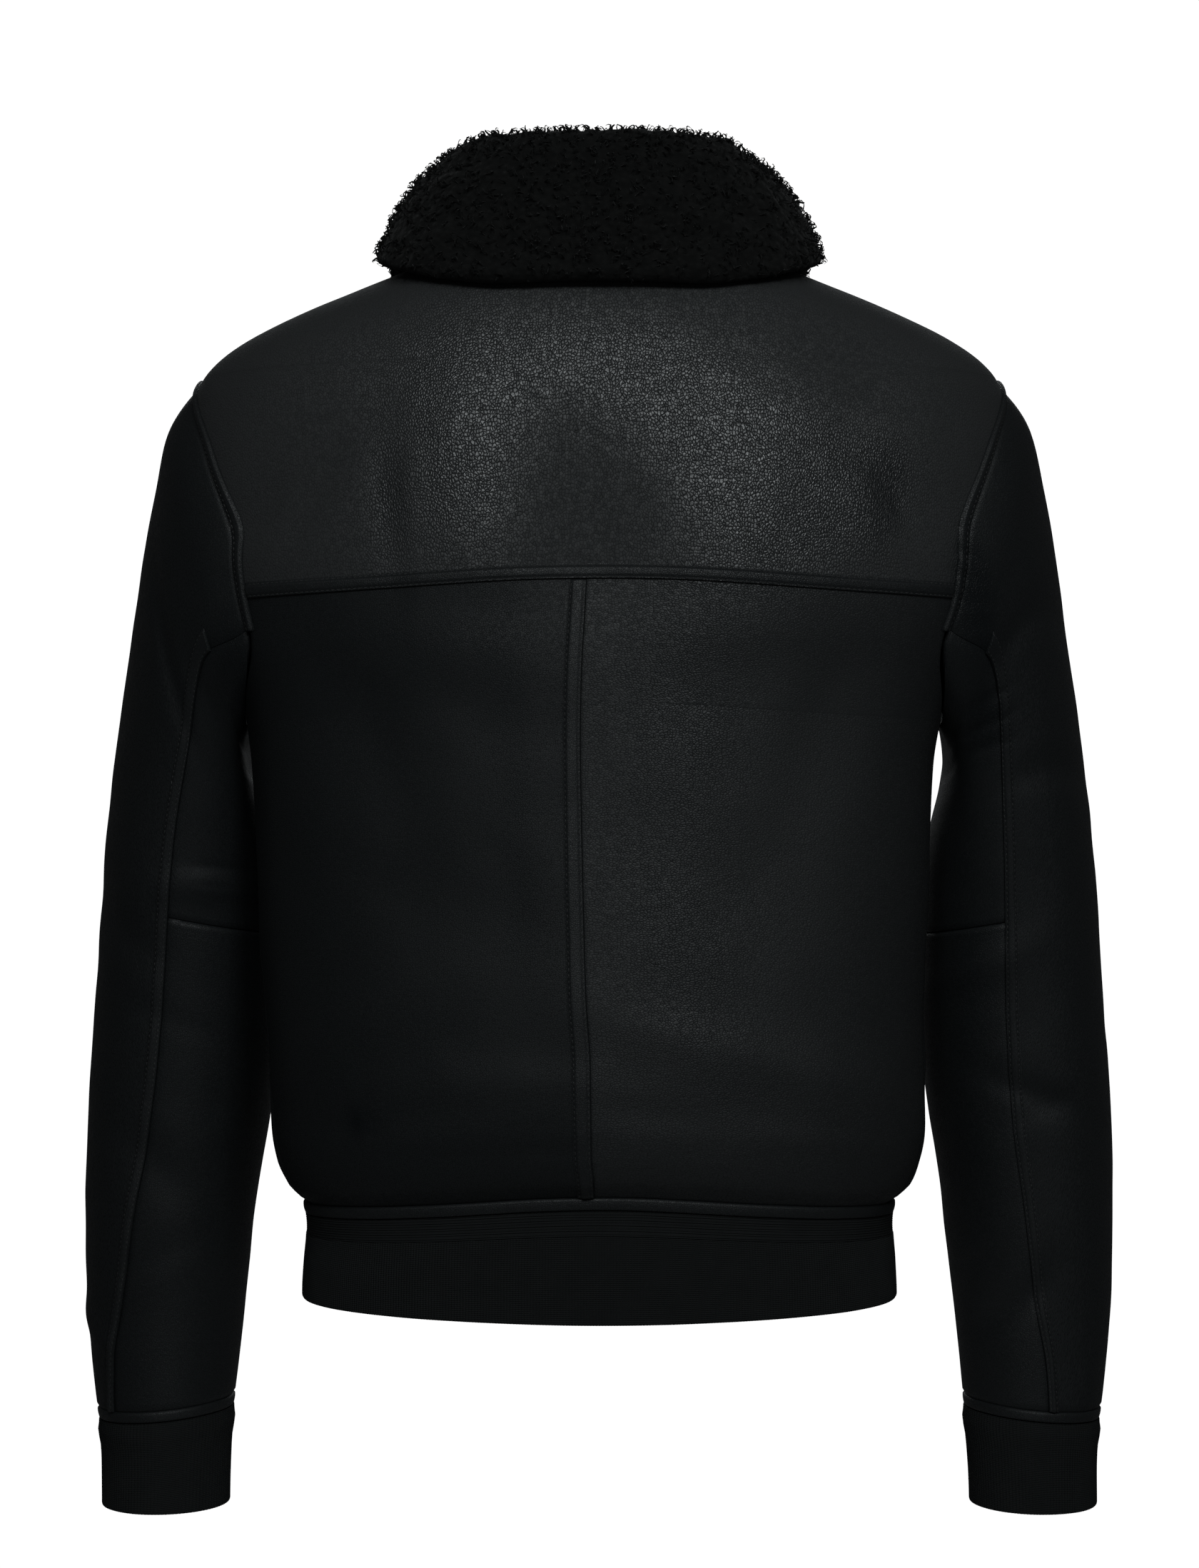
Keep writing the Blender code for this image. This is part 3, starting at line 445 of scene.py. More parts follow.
# Swells and creases of the leather that the frame's solids leave out. Facing is 1 on the back
# and -1 on the front; x and z are the middle, the slope is from upright, and the depth is
# negative in a trough.
CREASES = (
    ("facing", "x", "z", "slope", "length", "width", "depth"),
    (1, 0.078, -0.105, 4.0, 0.070, 0.034, 0.0042),
    (1, -0.086, -0.110, -8.0, 0.068, 0.044, 0.0042),
    (1, 0.006, -0.140, 0.0, 0.050, 0.030, -0.0026),
    (1, 0.120, -0.120, 6.0, 0.055, 0.010, -0.0008),
    (1, 0.104, -0.128, 2.0, 0.050, 0.007, 0.0006),
    (1, -0.150, -0.120, -6.0, 0.040, 0.016, 0.0012),
    (1, 0.165, -0.130, -30.0, 0.030, 0.007, -0.0012),
    (1, 0.175, -0.118, -36.0, 0.026, 0.005, 0.0009),
    (1, -0.168, -0.125, 34.0, 0.028, 0.007, -0.0010),
    (1, 0.035, -0.300, 3.0, 0.130, 0.016, 0.0011),
    (1, -0.045, -0.290, -2.0, 0.150, 0.024, 0.0016),
    (1, -0.120, -0.300, -6.0, 0.120, 0.030, -0.0010),
    (1, 0.110, -0.330, 4.0, 0.120, 0.030, -0.0009),
    (1, -0.080, -0.430, 74.0, 0.060, 0.010, 0.0008),
    (1, -0.020, -0.462, 82.0, 0.050, 0.008, -0.0007),
    (1, 0.090, -0.475, -80.0, 0.055, 0.009, 0.0008),
    (1, 0.140, -0.470, -20.0, 0.018, 0.005, -0.0007),
    (1, 0.134, -0.468, 16.0, 0.016, 0.004, 0.0006),
    (1, 0.052, -0.488, -84.0, 0.045, 0.007, -0.0007),
    (1, -0.115, -0.480, 78.0, 0.045, 0.008, 0.0008),
    (1, 0.222, -0.330, 84.0, 0.014, 0.0022, -0.0007),
    (1, 0.222, -0.341, 84.0, 0.014, 0.0022, -0.0007),
    (1, -0.210, -0.150, 62.0, 0.012, 0.0028, -0.0009),
    (1, -0.213, -0.163, 74.0, 0.012, 0.0026, -0.0008),
    (1, -0.215, -0.176, 84.0, 0.013, 0.0028, -0.0009),
    (1, -0.216, -0.190, -80.0, 0.012, 0.0026, -0.0008),
    (1, -0.224, -0.232, -60.0, 0.016, 0.0028, -0.0009),
    (1, -0.226, -0.246, -64.0, 0.017, 0.0026, -0.0008),
    (1, -0.226, -0.259, -72.0, 0.015, 0.0028, -0.0007),
    (1, -0.212, -0.578, -42.0, 0.020, 0.006, -0.0014),
    (1, 0.250, -0.420, 70.0, 0.030, 0.008, -0.0008),
    (1, 0.262, -0.560, -66.0, 0.032, 0.009, -0.0009),
    (1, -0.268, -0.470, -68.0, 0.032, 0.008, -0.0008),
    (-1, 0.100, -0.180, 60.0, 0.060, 0.012, -0.0012),
    (-1, -0.105, -0.190, -62.0, 0.060, 0.012, -0.0012),
    (-1, 0.080, -0.420, 74.0, 0.060, 0.011, 0.0010),
    (-1, -0.085, -0.400, -76.0, 0.060, 0.011, 0.0010),
    (-1, 0.245, -0.330, -78.0, 0.030, 0.006, -0.0012),
    (-1, 0.248, -0.350, 80.0, 0.030, 0.006, -0.0012),
    (-1, -0.245, -0.335, 78.0, 0.030, 0.006, -0.0012),
    (-1, -0.248, -0.355, -80.0, 0.030, 0.006, -0.0012),
)

# Where the leather is more polished (1) than elsewhere (0), placed in the same way
POLISH = (
    ("facing", "x", "z", "slope", "length", "width", "amount"),
    (1, 0.078, -0.085, 4.0, 0.070, 0.038, 0.95),
    (1, 0.020, -0.040, 0.0, 0.030, 0.060, 0.55),
    (1, -0.060, -0.075, 60.0, 0.080, 0.040, 0.75),
    (1, -0.100, -0.125, 20.0, 0.050, 0.050, 0.80),
    (1, -0.160, -0.115, -10.0, 0.035, 0.020, 0.70),
    (1, 0.120, -0.125, 4.0, 0.045, 0.012, 0.45),
    (1, -0.050, -0.260, -6.0, 0.110, 0.040, 0.42),
    (1, -0.060, -0.400, 10.0, 0.070, 0.040, 0.22),
    (1, 0.044, -0.290, 6.0, 0.130, 0.014, 0.22),
    (1, 0.100, -0.200, 84.0, 0.060, 0.012, 0.20),
    (1, -0.213, -0.170, 10.0, 0.036, 0.012, 0.90),
    (1, -0.225, -0.245, 10.0, 0.022, 0.014, 0.75),
    (1, 0.208, -0.215, 6.0, 0.040, 0.010, 0.60),
    (1, 0.134, -0.470, 0.0, 0.010, 0.012, 0.60),
    (1, 0.090, -0.440, 20.0, 0.040, 0.030, 0.20),
    (-1, 0.090, -0.140, 10.0, 0.080, 0.040, 0.45),
    (-1, -0.090, -0.140, -10.0, 0.080, 0.040, 0.45),
)
POLISH_BASE = 0.10
POLISH_UNEVEN = (0.10, 0.045, 31)


def smooth(table, name, at):
    """One column of a table, read at any place by cubic pieces that never overshoot its rows."""
    rows = np.array(table[1:], float)
    x, y = rows[:, 0], rows[:, table[0].index(name)]
    at = np.asarray(at, float)
    rise = np.diff(y) / np.diff(x)
    product = rise[:-1] * rise[1:]
    total = np.where(product > 0, rise[:-1] + rise[1:], 1.0)
    middle = np.where(product > 0, 2 * product / total, 0.0)
    slope = np.concatenate([rise[:1], middle, rise[-1:]])
    i = np.clip(np.searchsorted(x, at) - 1, 0, len(x) - 2)
    step = x[i + 1] - x[i]
    t = (at - x[i]) / step
    start = (1 + 2 * t) * (1 - t) ** 2 * y[i] + t * (1 - t) ** 2 * step * slope[i]
    end = t**2 * (3 - 2 * t) * y[i + 1] + t**2 * (t - 1) * step * slope[i + 1]
    return start + end


def unit(vectors):
    return vectors / np.linalg.norm(vectors, axis=-1, keepdims=True)


def fold_height(across, along, folds, angle_scale, row_scale):
    """The sum of soft ridges: a Gaussian across each fold and another along it."""
    total = np.zeros(np.broadcast(across, along).shape)
    for angle, row, slope, length, width, depth in folds:
        x = ((across - angle + 180.0) % 360.0 - 180.0) * angle_scale
        z = (along - row) * row_scale
        tilt = math.radians(slope)
        cross = x * math.cos(tilt) - z * math.sin(tilt)
        run = x * math.sin(tilt) + z * math.cos(tilt)
        total = total + depth * np.exp(-((cross / width) ** 2) - (run / length) ** 2)
    return total


def body(angle, height):
    """A point of the body: a superellipse at that height, raised at the back and the front."""
    turn = np.radians(angle)
    side, back = np.sin(turn), np.cos(turn)
    behind = back >= 0
    depth = np.where(behind, smooth(BODY, "back_depth", height), smooth(BODY, "front_depth", height))
    power = np.where(behind, BACK_POWER, FRONT_POWER)
    width = smooth(BODY, "half_width", height)
    reach = ((np.abs(back) / depth) ** power + (np.abs(side) / width) ** power) ** (-1 / power)
    reach = reach + fold_height(angle, height, BODY_FOLDS[1:], math.radians(BODY_RADIUS), 1.0)
    rise = smooth(BODY, "back_lift", height) * np.maximum(back, 0) ** 2
    rise = rise + smooth(BODY, "front_lift", height) * np.maximum(-back, 0) ** 2
    x = reach * side + smooth(BODY, "shift", height)
    return np.stack([x, reach * back, height + rise], axis=-1)


def armhole_height(round_angle):
    middle = (SHOULDER_TIP + ARMPIT) / 2
    return middle + (SHOULDER_TIP - ARMPIT) / 2 * np.cos(np.radians(round_angle))


def armhole(side, round_angle):
    angle = smooth(ARMHOLE, "angle", np.mod(round_angle, 360.0))
    return body(side * angle, armhole_height(round_angle))


def oval(side, round_angle, row):
    turn = np.radians(round_angle)
    outer_x, inner_x = smooth(SLEEVE, "outer_x", row), smooth(SLEEVE, "inner_x", row)
    outer_z, inner_z = smooth(SLEEVE, "outer_z", row), smooth(SLEEVE, "inner_z", row)
    x = (outer_x + inner_x) / 2 + np.cos(turn) * (outer_x - inner_x) / 2
    z = (outer_z + inner_z) / 2 + np.cos(turn) * (outer_z - inner_z) / 2
    y = smooth(SLEEVE, "middle_y", row) + np.sin(turn) * smooth(SLEEVE, "half_depth", row)
    return np.stack([side * x, y, z], axis=-1)


def sleeve(side, round_angle, row):
    """A point of the sleeve: an oval of the table, which near the armhole bends to its edge."""
    column = "left" if side > 0 else "right"
    twist = smooth(SLEEVE_SEAM, column, row) - SEAM_START
    ease = 0.5 * (1 - np.cos(np.radians(round_angle - SEAM_START)))
    point = oval(side, round_angle + twist * (1 - TWIST_EASE * ease), row)
    near = np.clip(1 - row / ARMHOLE_ROWS, 0, 1) ** 2
    miss = armhole(side, round_angle) - oval(side, round_angle, 0.0)
    folds = [fold[1:] for fold in SLEEVE_FOLDS[1:] if fold[0] == side]
    middle = (oval(side, 0.0, row) + oval(side, 180.0, row)) / 2
    outward = unit(point - middle)
    scale = math.radians(SLEEVE_RADIUS)
    height = fold_height(round_angle + twist, row, folds, scale, ROW_LENGTH)
    height = height * np.clip(row / FOLDS_WHOLE_ROW, 0, 1)
    return point + miss * near[..., None] + outward * height[..., None]


def normals(surface, first, second, small_first, small_second):
    across = surface(first + small_first, second) - surface(first - small_first, second)
    along = surface(first, second + small_second) - surface(first, second - small_second)
    return unit(np.cross(across, along))


def body_normals(angle, height):
    return -normals(body, angle, height, ANGLE_STEP, HEIGHT_STEP)


def sleeve_normals(side, round_angle, row):
    def surface(first, second):
        return sleeve(side, first, second)

    return -side * normals(surface, round_angle, row, ANGLE_STEP, ROW_STEP)


def armhole_ways(side, round_angle):
    """The way the body's wall and the sleeve's wall are thick along the armhole.

    Each leans towards the other's normal where the two surfaces nearly run on, and keeps to its
    own where they meet in a deep valley, as at the armpit.
    """
    angle = side * smooth(ARMHOLE, "angle", np.mod(round_angle, 360.0))
    from_body = body_normals(angle, armhole_height(round_angle))
    from_sleeve = sleeve_normals(side, round_angle, np.full(np.shape(round_angle), ARMHOLE_ROW))
    alike = np.clip(np.sum(from_body * from_sleeve, axis=-1, keepdims=True), 0, 1) ** 2
    return unit(from_body + alike * from_sleeve), unit(from_sleeve + alike * from_body)


def hermite(t, start, end, leave, arrive):
    """A cubic from start to end that leaves and arrives with the slopes given."""
    first = (1 + 2 * t) * (1 - t) ** 2 * start + t * (1 - t) ** 2 * leave
    return first + t**2 * (3 - 2 * t) * end + t**2 * (t - 1) * arrive


def collar_path(angle, part):
    """Reach and height along the collar's middle: up the stand, over the fold, down the fall."""
    turned = np.abs(angle)
    neck = body(angle, np.full(np.shape(angle), NECK))
    neck_reach = np.hypot(neck[..., 0], neck[..., 1]) + COLLAR / 2 - SHEARLING
    neck_z = neck[..., 2] + COLLAR / 2 + 0.001
    fold_reach, fold_z = smooth(COLLAR_RIM, "fold_reach", turned), smooth(COLLAR_RIM, "fold_z", turned)
    ring = smooth(COLLAR_RIM, "edge_ring", turned)
    edge = body(angle, ring) + body_normals(angle, ring) * (COLLAR / 2 + COLLAR_CLEAR)
    edge_reach, edge_z = np.hypot(edge[..., 0], edge[..., 1]), edge[..., 2]
    across = (edge_reach - neck_reach) * COLLAR_STRETCH
    rise, drop = fold_z - neck_z, fold_z - edge_z
    up = np.clip(part / COLLAR_FOLD, 0, 1)
    down = np.clip((part - COLLAR_FOLD) / (1 - COLLAR_FOLD), 0, 1)
    stand_out, fall_out = [[share * across for share in pair] for pair in (STAND_OUT, FALL_OUT)]
    stand_reach = hermite(up, neck_reach, fold_reach, *stand_out)
    stand_z = hermite(up, neck_z, fold_z, STAND_UP * rise, 0.0)
    fall_reach = hermite(down, fold_reach, edge_reach, *fall_out)
    fall_z = hermite(down, fold_z, edge_z, 0.0, FALL_DOWN * drop)
    rising = part <= COLLAR_FOLD
    return np.where(rising, stand_reach, fall_reach), np.where(rising, stand_z, fall_z)


def ridges(points, ways, table):
    """Soft ridges and troughs placed by x and z: a Gaussian across each and another along it."""
    total = np.zeros(points.shape[:-1])
    for facing, x, z, slope, length, width, depth in table[1:]:
        tilt = math.radians(slope)
        dx, dz = points[..., 0] - x, points[..., 2] - z
        cross = dx * math.cos(tilt) - dz * math.sin(tilt)
        run = dx * math.sin(tilt) + dz * math.cos(tilt)
        seen = np.clip(3 * facing * ways[..., 1], 0, 1)
        total += depth * seen * np.exp(-((cross / width) ** 2) - (run / length) ** 2)
    return total


def lumps(points, size, seed):
    """Smooth uneven heights from -1 to 1: random values on a cubic lattice, blended smoothly."""
    values = np.random.default_rng(seed).uniform(-1, 1, LATTICE_VALUES)
    place = np.asarray(points) / size
    cell = np.floor(place).astype(np.int64)
    t = place - cell
    t = t * t * (3 - 2 * t)
    total = 0.0
    for corner in np.ndindex(2, 2, 2):
        weight = np.prod(np.where(corner, t, 1 - t), axis=-1)
        spot = (cell + corner) * np.array(LATTICE_STEPS)
        total = total + weight * values[(spot[..., 0] ^ spot[..., 1] ^ spot[..., 2]) % LATTICE_VALUES]
    return total


def uneven(points, table):
    """The sum of several sets of lumps."""
    return sum(height * lumps(points, size, seed) for height, size, seed in table)


def wander(points, ways):
    """How far the leather stands off its smooth surface: swells, creases and slight unevenness."""
    return ridges(points, ways, CREASES) + uneven(points, LEATHER_LUMPS)


def armhole_round(height):
    """The sleeve's angle at which a ring of the body meets the armhole, from 180 up to 0."""
    middle = (SHOULDER_TIP + ARMPIT) / 2
    half = (SHOULDER_TIP - ARMPIT) / 2
    return np.degrees(np.arccos(np.clip((height - middle) / half, -1, 1)))


def edge_angle(height, front):
    """The angle at which a ring meets the side seam, the armhole or the shoulder seam."""
    turn = armhole_round(height)
    along = smooth(ARMHOLE, "angle", 360.0 - turn if front else turn)
    under = smooth(SIDE_SEAM, "angle", height)
    part = (height - SHOULDER_TIP) / (NECK - SHOULDER_TIP)
    start = float(smooth(ARMHOLE, "angle", 0.0))
    over = start + (SHOULDER_SEAM_AT_NECK - start) * part
    return np.where(height < ARMPIT, under, np.where(height > SHOULDER_TIP, over, along))


def zip_angle(half_width, heights):
    return 180.0 - np.degrees(np.arcsin(half_width / smooth(BODY, "front_depth", heights)))


def body_heights(low, high, pitch, step=1):
    """Heights of rings, spaced by the pitch along the seam as well as upwards."""
    dense = np.linspace(low, high, 4001)
    turn = np.radians(armhole_round(dense))
    run = np.concatenate([[0], np.cumsum(np.hypot(np.diff(dense), 0.055 * np.diff(turn)))])
    count = step * max(2, round(run[-1] / pitch / step))
    return np.interp(np.linspace(0, run[-1], count + 1), run, dense)


def sleeve_rows(first, last, pitch, step=1):
    """Rows of a sleeve, spaced by the pitch along its outer line."""
    dense = np.linspace(first, last, 2001)
    drop = np.hypot(np.diff(smooth(SLEEVE, "outer_x", dense)), np.diff(smooth(SLEEVE, "outer_z", dense)))
    run = np.concatenate([[0], np.cumsum(drop)])
    count = step * max(1, round(run[-1] / pitch / step))
    return np.interp(np.linspace(0, run[-1], count + 1), run, dense)


def body_skin(angles, heights, edge_column=None, side=1, front=False):
    """Points of the leather on the body, and the way it is thick at each of them."""
    level = np.broadcast_to(heights[:, None], angles.shape)
    points = body(angles, level)
    ways = body_normals(angles, level)
    if edge_column is not None:
        turn = armhole_round(heights)
        shared = armhole_ways(side, 360.0 - turn if front else turn)[0][:, None]
        edge = points[:, edge_column][:, None]
        apart = np.linalg.norm(points - edge, axis=-1)
        inside = (heights > ARMPIT) & (heights < SHOULDER_TIP)
        weight = (np.exp(-((apart / BODY_BLEND) ** 2)) * inside[:, None])[..., None]
        ways = unit(ways * (1 - weight) + shared * weight)
    return points + ways * wander(points, ways)[..., None], ways


def sleeve_skin(side, rounds, rows):
    """Points of the leather on a sleeve, and the way it is thick at each of them."""
    turn, row = np.meshgrid(rounds, np.asarray(rows, float))
    points = sleeve(side, turn, row)
    ways = sleeve_normals(side, turn, row)
    shared = armhole_ways(side, rounds)[1]
    apart = np.linalg.norm(points - armhole(side, rounds)[None], axis=-1)
    weight = (np.exp(-((apart / SLEEVE_BLEND) ** 2)) * (row < 3))[..., None]
    ways = unit(ways * (1 - weight) + shared[None] * weight)
    return points + ways * wander(points, ways)[..., None], ways


def lengths(points, axis):
    """Distance run along one axis of a grid, from its start."""
    steps = np.linalg.norm(np.diff(points, axis=axis), axis=-1)
    run = np.cumsum(steps, axis=axis)
    return np.concatenate([np.zeros_like(run.take([0], axis)), run], axis)


def edge_distances(points, closed=False):
    """Distance of each grid point to the first row, last row, first column and last column."""
    down, across = lengths(points, 0), lengths(points, 1)
    sides = [down, down[-1:] - down]
    if not closed:
        sides += [across, across[:, -1:] - across]
    return sides


def rolled(distance, radius):
    """How far a rounded edge has dropped at a distance from it: a quarter circle."""
    inside = np.clip(1 - distance / radius, 0, 1)
    return radius * (1 - np.sqrt(1 - inside**2))


def draw_in(points, closed):
    """Moves each free edge of a grid half a seam gap into the piece."""
    moved = points.copy()
    half = SEAM_GAP / 2
    moved[0] += half * unit(points[1] - points[0])
    moved[-1] += half * unit(points[-2] - points[-1])
    if not closed:
        moved[:, 0] += half * unit(points[:, 1] - points[:, 0])
        moved[:, -1] += half * unit(points[:, -2] - points[:, -1])
    return moved


def grid_quads(rows, columns, closed):
    """Corner numbers of a grid's cells; a closed grid joins its last column to its first."""
    row = np.arange(rows - 1)[:, None]
    column = np.arange(columns if closed else columns - 1)[None, :]
    after = (column + 1) % columns
    corners = [row * columns + column, row * columns + after]
    corners += [(row + 1) * columns + after, (row + 1) * columns + column]
    return np.stack([np.broadcast_to(c, (rows - 1, column.size)) for c in corners], -1).reshape(-1, 4)


def border(rows, columns, closed):
    """The borders of a grid as runs of point numbers, each one closed."""
    numbers = np.arange(rows * columns).reshape(rows, columns)
    if closed:
        return [numbers[0], np.roll(numbers[-1][::-1], 1)]
    return [np.concatenate([numbers[0], numbers[1:, -1], numbers[-1, -2::-1], numbers[-2:0:-1, 0]])]


def rims(rows, columns, step, closed):
    """Faces between the fine outer border and the inner one, which keeps every step-th point."""
    inner_rows = (rows - 1) // step + 1
    inner_columns = columns // step if closed else (columns - 1) // step + 1
    runs = zip(border(rows, columns, closed), border(inner_rows, inner_columns, closed))
    faces = []
    for fine, coarse in runs:
        fans = [np.roll(fine, -i)[::step] for i in range(step + 1)]
        inner = coarse + rows * columns
        faces.append(np.stack([*fans, np.roll(inner, -1), inner], axis=-1))
    return np.concatenate(faces)


def volume_of(points, faces):
    """Six times the volume enclosed, from a fan of triangles over each face."""
    total = 0.0
    for block in faces:
        corners = points[block]
        for i in range(1, block.shape[1] - 1):
            cross = np.cross(corners[:, 0], corners[:, i])
            total += float(np.sum(cross * corners[:, i + 1]))
    return total


def make_mesh(name, points, faces, finishes, marks=None, cut=None, fields=None):
    """A mesh of blocks of faces. Marks give each block's finish, cut is a UV map in metres."""
    if volume_of(points, faces) < 0:
        faces = [block[:, ::-1] for block in faces]
    mesh = bpy.data.meshes.new(name)
    sizes = np.concatenate([np.full(len(b), b.shape[1]) for b in faces])
    corners = np.concatenate([b.ravel() for b in faces])
    mesh.vertices.add(len(points))
    mesh.vertices.foreach_set("co", points.astype(np.float32).ravel())
    mesh.loops.add(len(corners))
    mesh.loops.foreach_set("vertex_index", corners.astype(np.int32))
    mesh.polygons.add(len(sizes))
    starts = np.concatenate([[0], np.cumsum(sizes)[:-1]])
    mesh.polygons.foreach_set("loop_start", starts.astype(np.int32))
    marks = marks or [0] * len(faces)
    which = np.concatenate([np.full(len(b), m) for b, m in zip(faces, marks)])
    for finish in finishes:
        mesh.materials.append(finish)
    mesh.polygons.foreach_set("material_index", which.astype(np.int32))
    mesh.update(calc_edges=True)
    mesh.validate()
    if cut is not None:
        layer = mesh.uv_layers.new(name="cut")
        order = np.zeros(len(mesh.loops), np.int32)
        mesh.loops.foreach_get("vertex_index", order)
        layer.data.foreach_set("uv", cut[order].astype(np.float32).ravel())
    for title, values in (fields or {}).items():
        field = mesh.attributes.new(title, "FLOAT", "POINT")
        field.data.foreach_set("value", values.astype(np.float32).ravel())
    mesh.shade_smooth()
    mesh.set_sharp_from_angle(angle=math.radians(SHARP_ANGLE))
    piece = bpy.data.objects.new(name, mesh)
    bpy.context.scene.collection.objects.link(piece)
    return piece


def shell(name, outer, inner, step, finishes, closed=False, fields=None):
    """A closed wall: a fine outer grid, every step-th of whose points has an inner one, and a rim."""
    rows, columns = outer.shape[:2]
    thin = inner[::step, ::step]
    count = rows * columns
    faces = [grid_quads(rows, columns, closed)]
    faces.append(grid_quads(thin.shape[0], thin.shape[1], closed)[:, ::-1] + count)
    faces.append(rims(rows, columns, step, closed)[:, ::-1])
    points = np.concatenate([outer.reshape(-1, 3), thin.reshape(-1, 3)])
    middle = columns // 2
    across = lengths(outer, 1)
    cut = np.stack([across - across[:, middle : middle + 1], lengths(outer, 0)], axis=-1)
    cut = np.concatenate([cut.reshape(-1, 2), cut[::step, ::step].reshape(-1, 2)])
    all_fields = {}
    for title, values in (fields or {}).items():
        thin_values = values[::step, ::step]
        all_fields[title] = np.concatenate([values.ravel(), thin_values.ravel()])
    marks = [0, 1 if len(finishes) > 1 else 0, 0]
    return make_mesh(name, points, faces, finishes, marks, cut, all_fields)


def tube_faces(rings, sides, start=0):
    """Faces of a closed tube: quads between its rings and a fan at each end."""
    quads = grid_quads(rings, sides, True) + start
    first = np.arange(sides)[None, ::-1] + start
    last = np.arange(sides)[None, :] + start + (rings - 1) * sides
    return quads, np.concatenate([first, last])


def joined(points, quads, ends):
    """Many copies of a small form as one block: points is copies by vertices by 3."""
    copies, count = points.shape[:2]
    shift = (np.arange(copies) * count)[:, None, None]
    return points.reshape(-1, 3), [
        (quads[None] + shift).reshape(-1, quads.shape[1]),
        (ends[None] + shift).reshape(-1, ends.shape[1]),
    ]


def along_line(line, at):
    """Any per-point values of a line, read at distances along it."""
    run = lengths(line[None, :, :3], 1)[0]
    return np.stack([np.interp(at, run, line[:, i]) for i in range(line.shape[1])], axis=-1)


def stitches(line, ways):
    """Threads along a line: flattened ellipsoids, one for each stitch, half sunk in the leather."""
    both = np.concatenate([line, ways], axis=1)
    run = float(lengths(line[None], 1)[0, -1])
    at = np.arange(STITCH_PITCH / 2, run - STITCH_PITCH / 2, STITCH_PITCH)
    middle = along_line(both, at)
    ahead, behind = along_line(both, at + STITCH_LOOK), along_line(both, at - STITCH_LOOK)
    along = unit(ahead[:, :3] - behind[:, :3])
    way = unit(middle[:, 3:])
    side = np.cross(along, way)
    ring = np.linspace(STITCH_ENDS, np.pi - STITCH_ENDS, STITCH_RINGS)[:, None]
    turn = np.linspace(0, 2 * np.pi, STITCH_SIDES, endpoint=False)[None, :]
    x = -np.cos(ring) * STITCH_LENGTH / 2 + 0 * turn
    y = np.sin(ring) ** 0.7 * np.cos(turn) * STITCH_WIDTH / 2
    z = np.sin(ring) ** 0.7 * np.sin(turn) * STITCH_HEIGHT / 2
    form = np.stack([x, y, z], axis=-1).reshape(1, -1, 3)
    return (
        middle[:, None, :3]
        + form[..., :1] * along[:, None]
        + form[..., 1:2] * side[:, None]
        + form[..., 2:] * way[:, None]
    )


def sew(name, rows, finish):
    """One piece of joined stitches, from the rows' lines."""
    forms = np.concatenate([stitches(line, ways) for line, ways in rows])
    quads, ends = tube_faces(STITCH_RINGS, STITCH_SIDES)
    points, faces = joined(forms, quads, ends)
    return make_mesh(name, points, faces, [finish])


def strip_height(inside, outside, puff):
    """Height of a lapped seam: a rounded fold at its edge, a groove under each row of stitches,
    a soft swell between them, and a far side that runs out into the leather."""
    fold = STRIP - rolled(inside, STRIP)
    groove = 0.0
    for depth, distance in zip(GROOVES, (inside, outside)):
        groove = groove + depth * np.exp(-(((distance - STITCH_IN) / GROOVE_WIDTH) ** 2))
    swell = puff * np.sin(np.pi * inside / (inside + outside))
    t = np.clip(outside / STRIP_RUN_OUT, 0, 1)
    return np.maximum((fold + swell - groove) * t * t * (3 - 2 * t), STRIP_THINNEST)


def strip(name, points, ways, finish):
    """A taped seam over a panel; the first column of the grid is its folded edge."""
    moved = draw_in(points, False)
    across = lengths(points, 1)
    inside, outside = across, across[:, -1:] - across
    puff = STRIP_PUFF * (1 + 0.5 * lumps(points, 0.014, 21))
    height = strip_height(inside, outside, puff)
    ends = [rolled(distance, STRIP_END_RADIUS) for distance in edge_distances(points)[:2]]
    height = np.maximum(height - ends[0] - ends[1], 0.0001)
    outer = moved + ways * (SEAM_GAP + height)[..., None]
    inner = moved + ways * SEAM_GAP / 2
    piece = shell(name + "_leather", outer, inner, 1, [finish], fields=leather_fields(points, ways))
    rows = []
    for distance in (inside, outside):
        share = np.argmin(np.abs(distance - STITCH_IN), axis=1)
        index = np.arange(len(points))
        lift = (SEAM_GAP + height + STITCH_LIFT)[index, share][:, None]
        rows.append((moved[index, share] + ways[index, share] * lift, ways[index, share]))
    return piece, rows


def leather_fields(points, ways):
    """How polished the leather is at each point, from 0 to 1."""
    polish = POLISH_BASE + ridges(points, ways, POLISH) + uneven(points, [POLISH_UNEVEN])
    return {"polish": np.clip(polish, 0, 1)}


def panel(name, points, ways, finishes, soft, thickness=SHEARLING, step=3, closed=False, puff=0.0):
    """A piece of leather: rounded at the edges that soft gives a radius for, woolly inside."""
    moved = draw_in(points, closed)
    distances = edge_distances(points, closed)
    drop = sum(rolled(distance, radius) for distance, radius in zip(distances, soft) if radius)
    share = distances[0] / (distances[0] + distances[1])
    outer = moved + ways * (puff * np.sin(np.pi * share) - drop)[..., None]
    inner = moved - ways * thickness
    fields = leather_fields(points, ways)
    return shell(name + "_leather", outer, inner, step, finishes, closed, fields)


def dress(piece, nodes, body=JACKET, with_pieces=()):
    """The piece rides on a body and stands for its nodes, which it hides."""
    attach(piece, body)
    if nodes:
        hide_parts(*nodes)
    return piece


def spread(start, end, count):
    """Angles of the columns: for each row, even steps from its start to its end."""
    start, end = np.broadcast_arrays(start, end)
    return start[:, None] + (end - start)[:, None] * np.linspace(0, 1, count + 1)


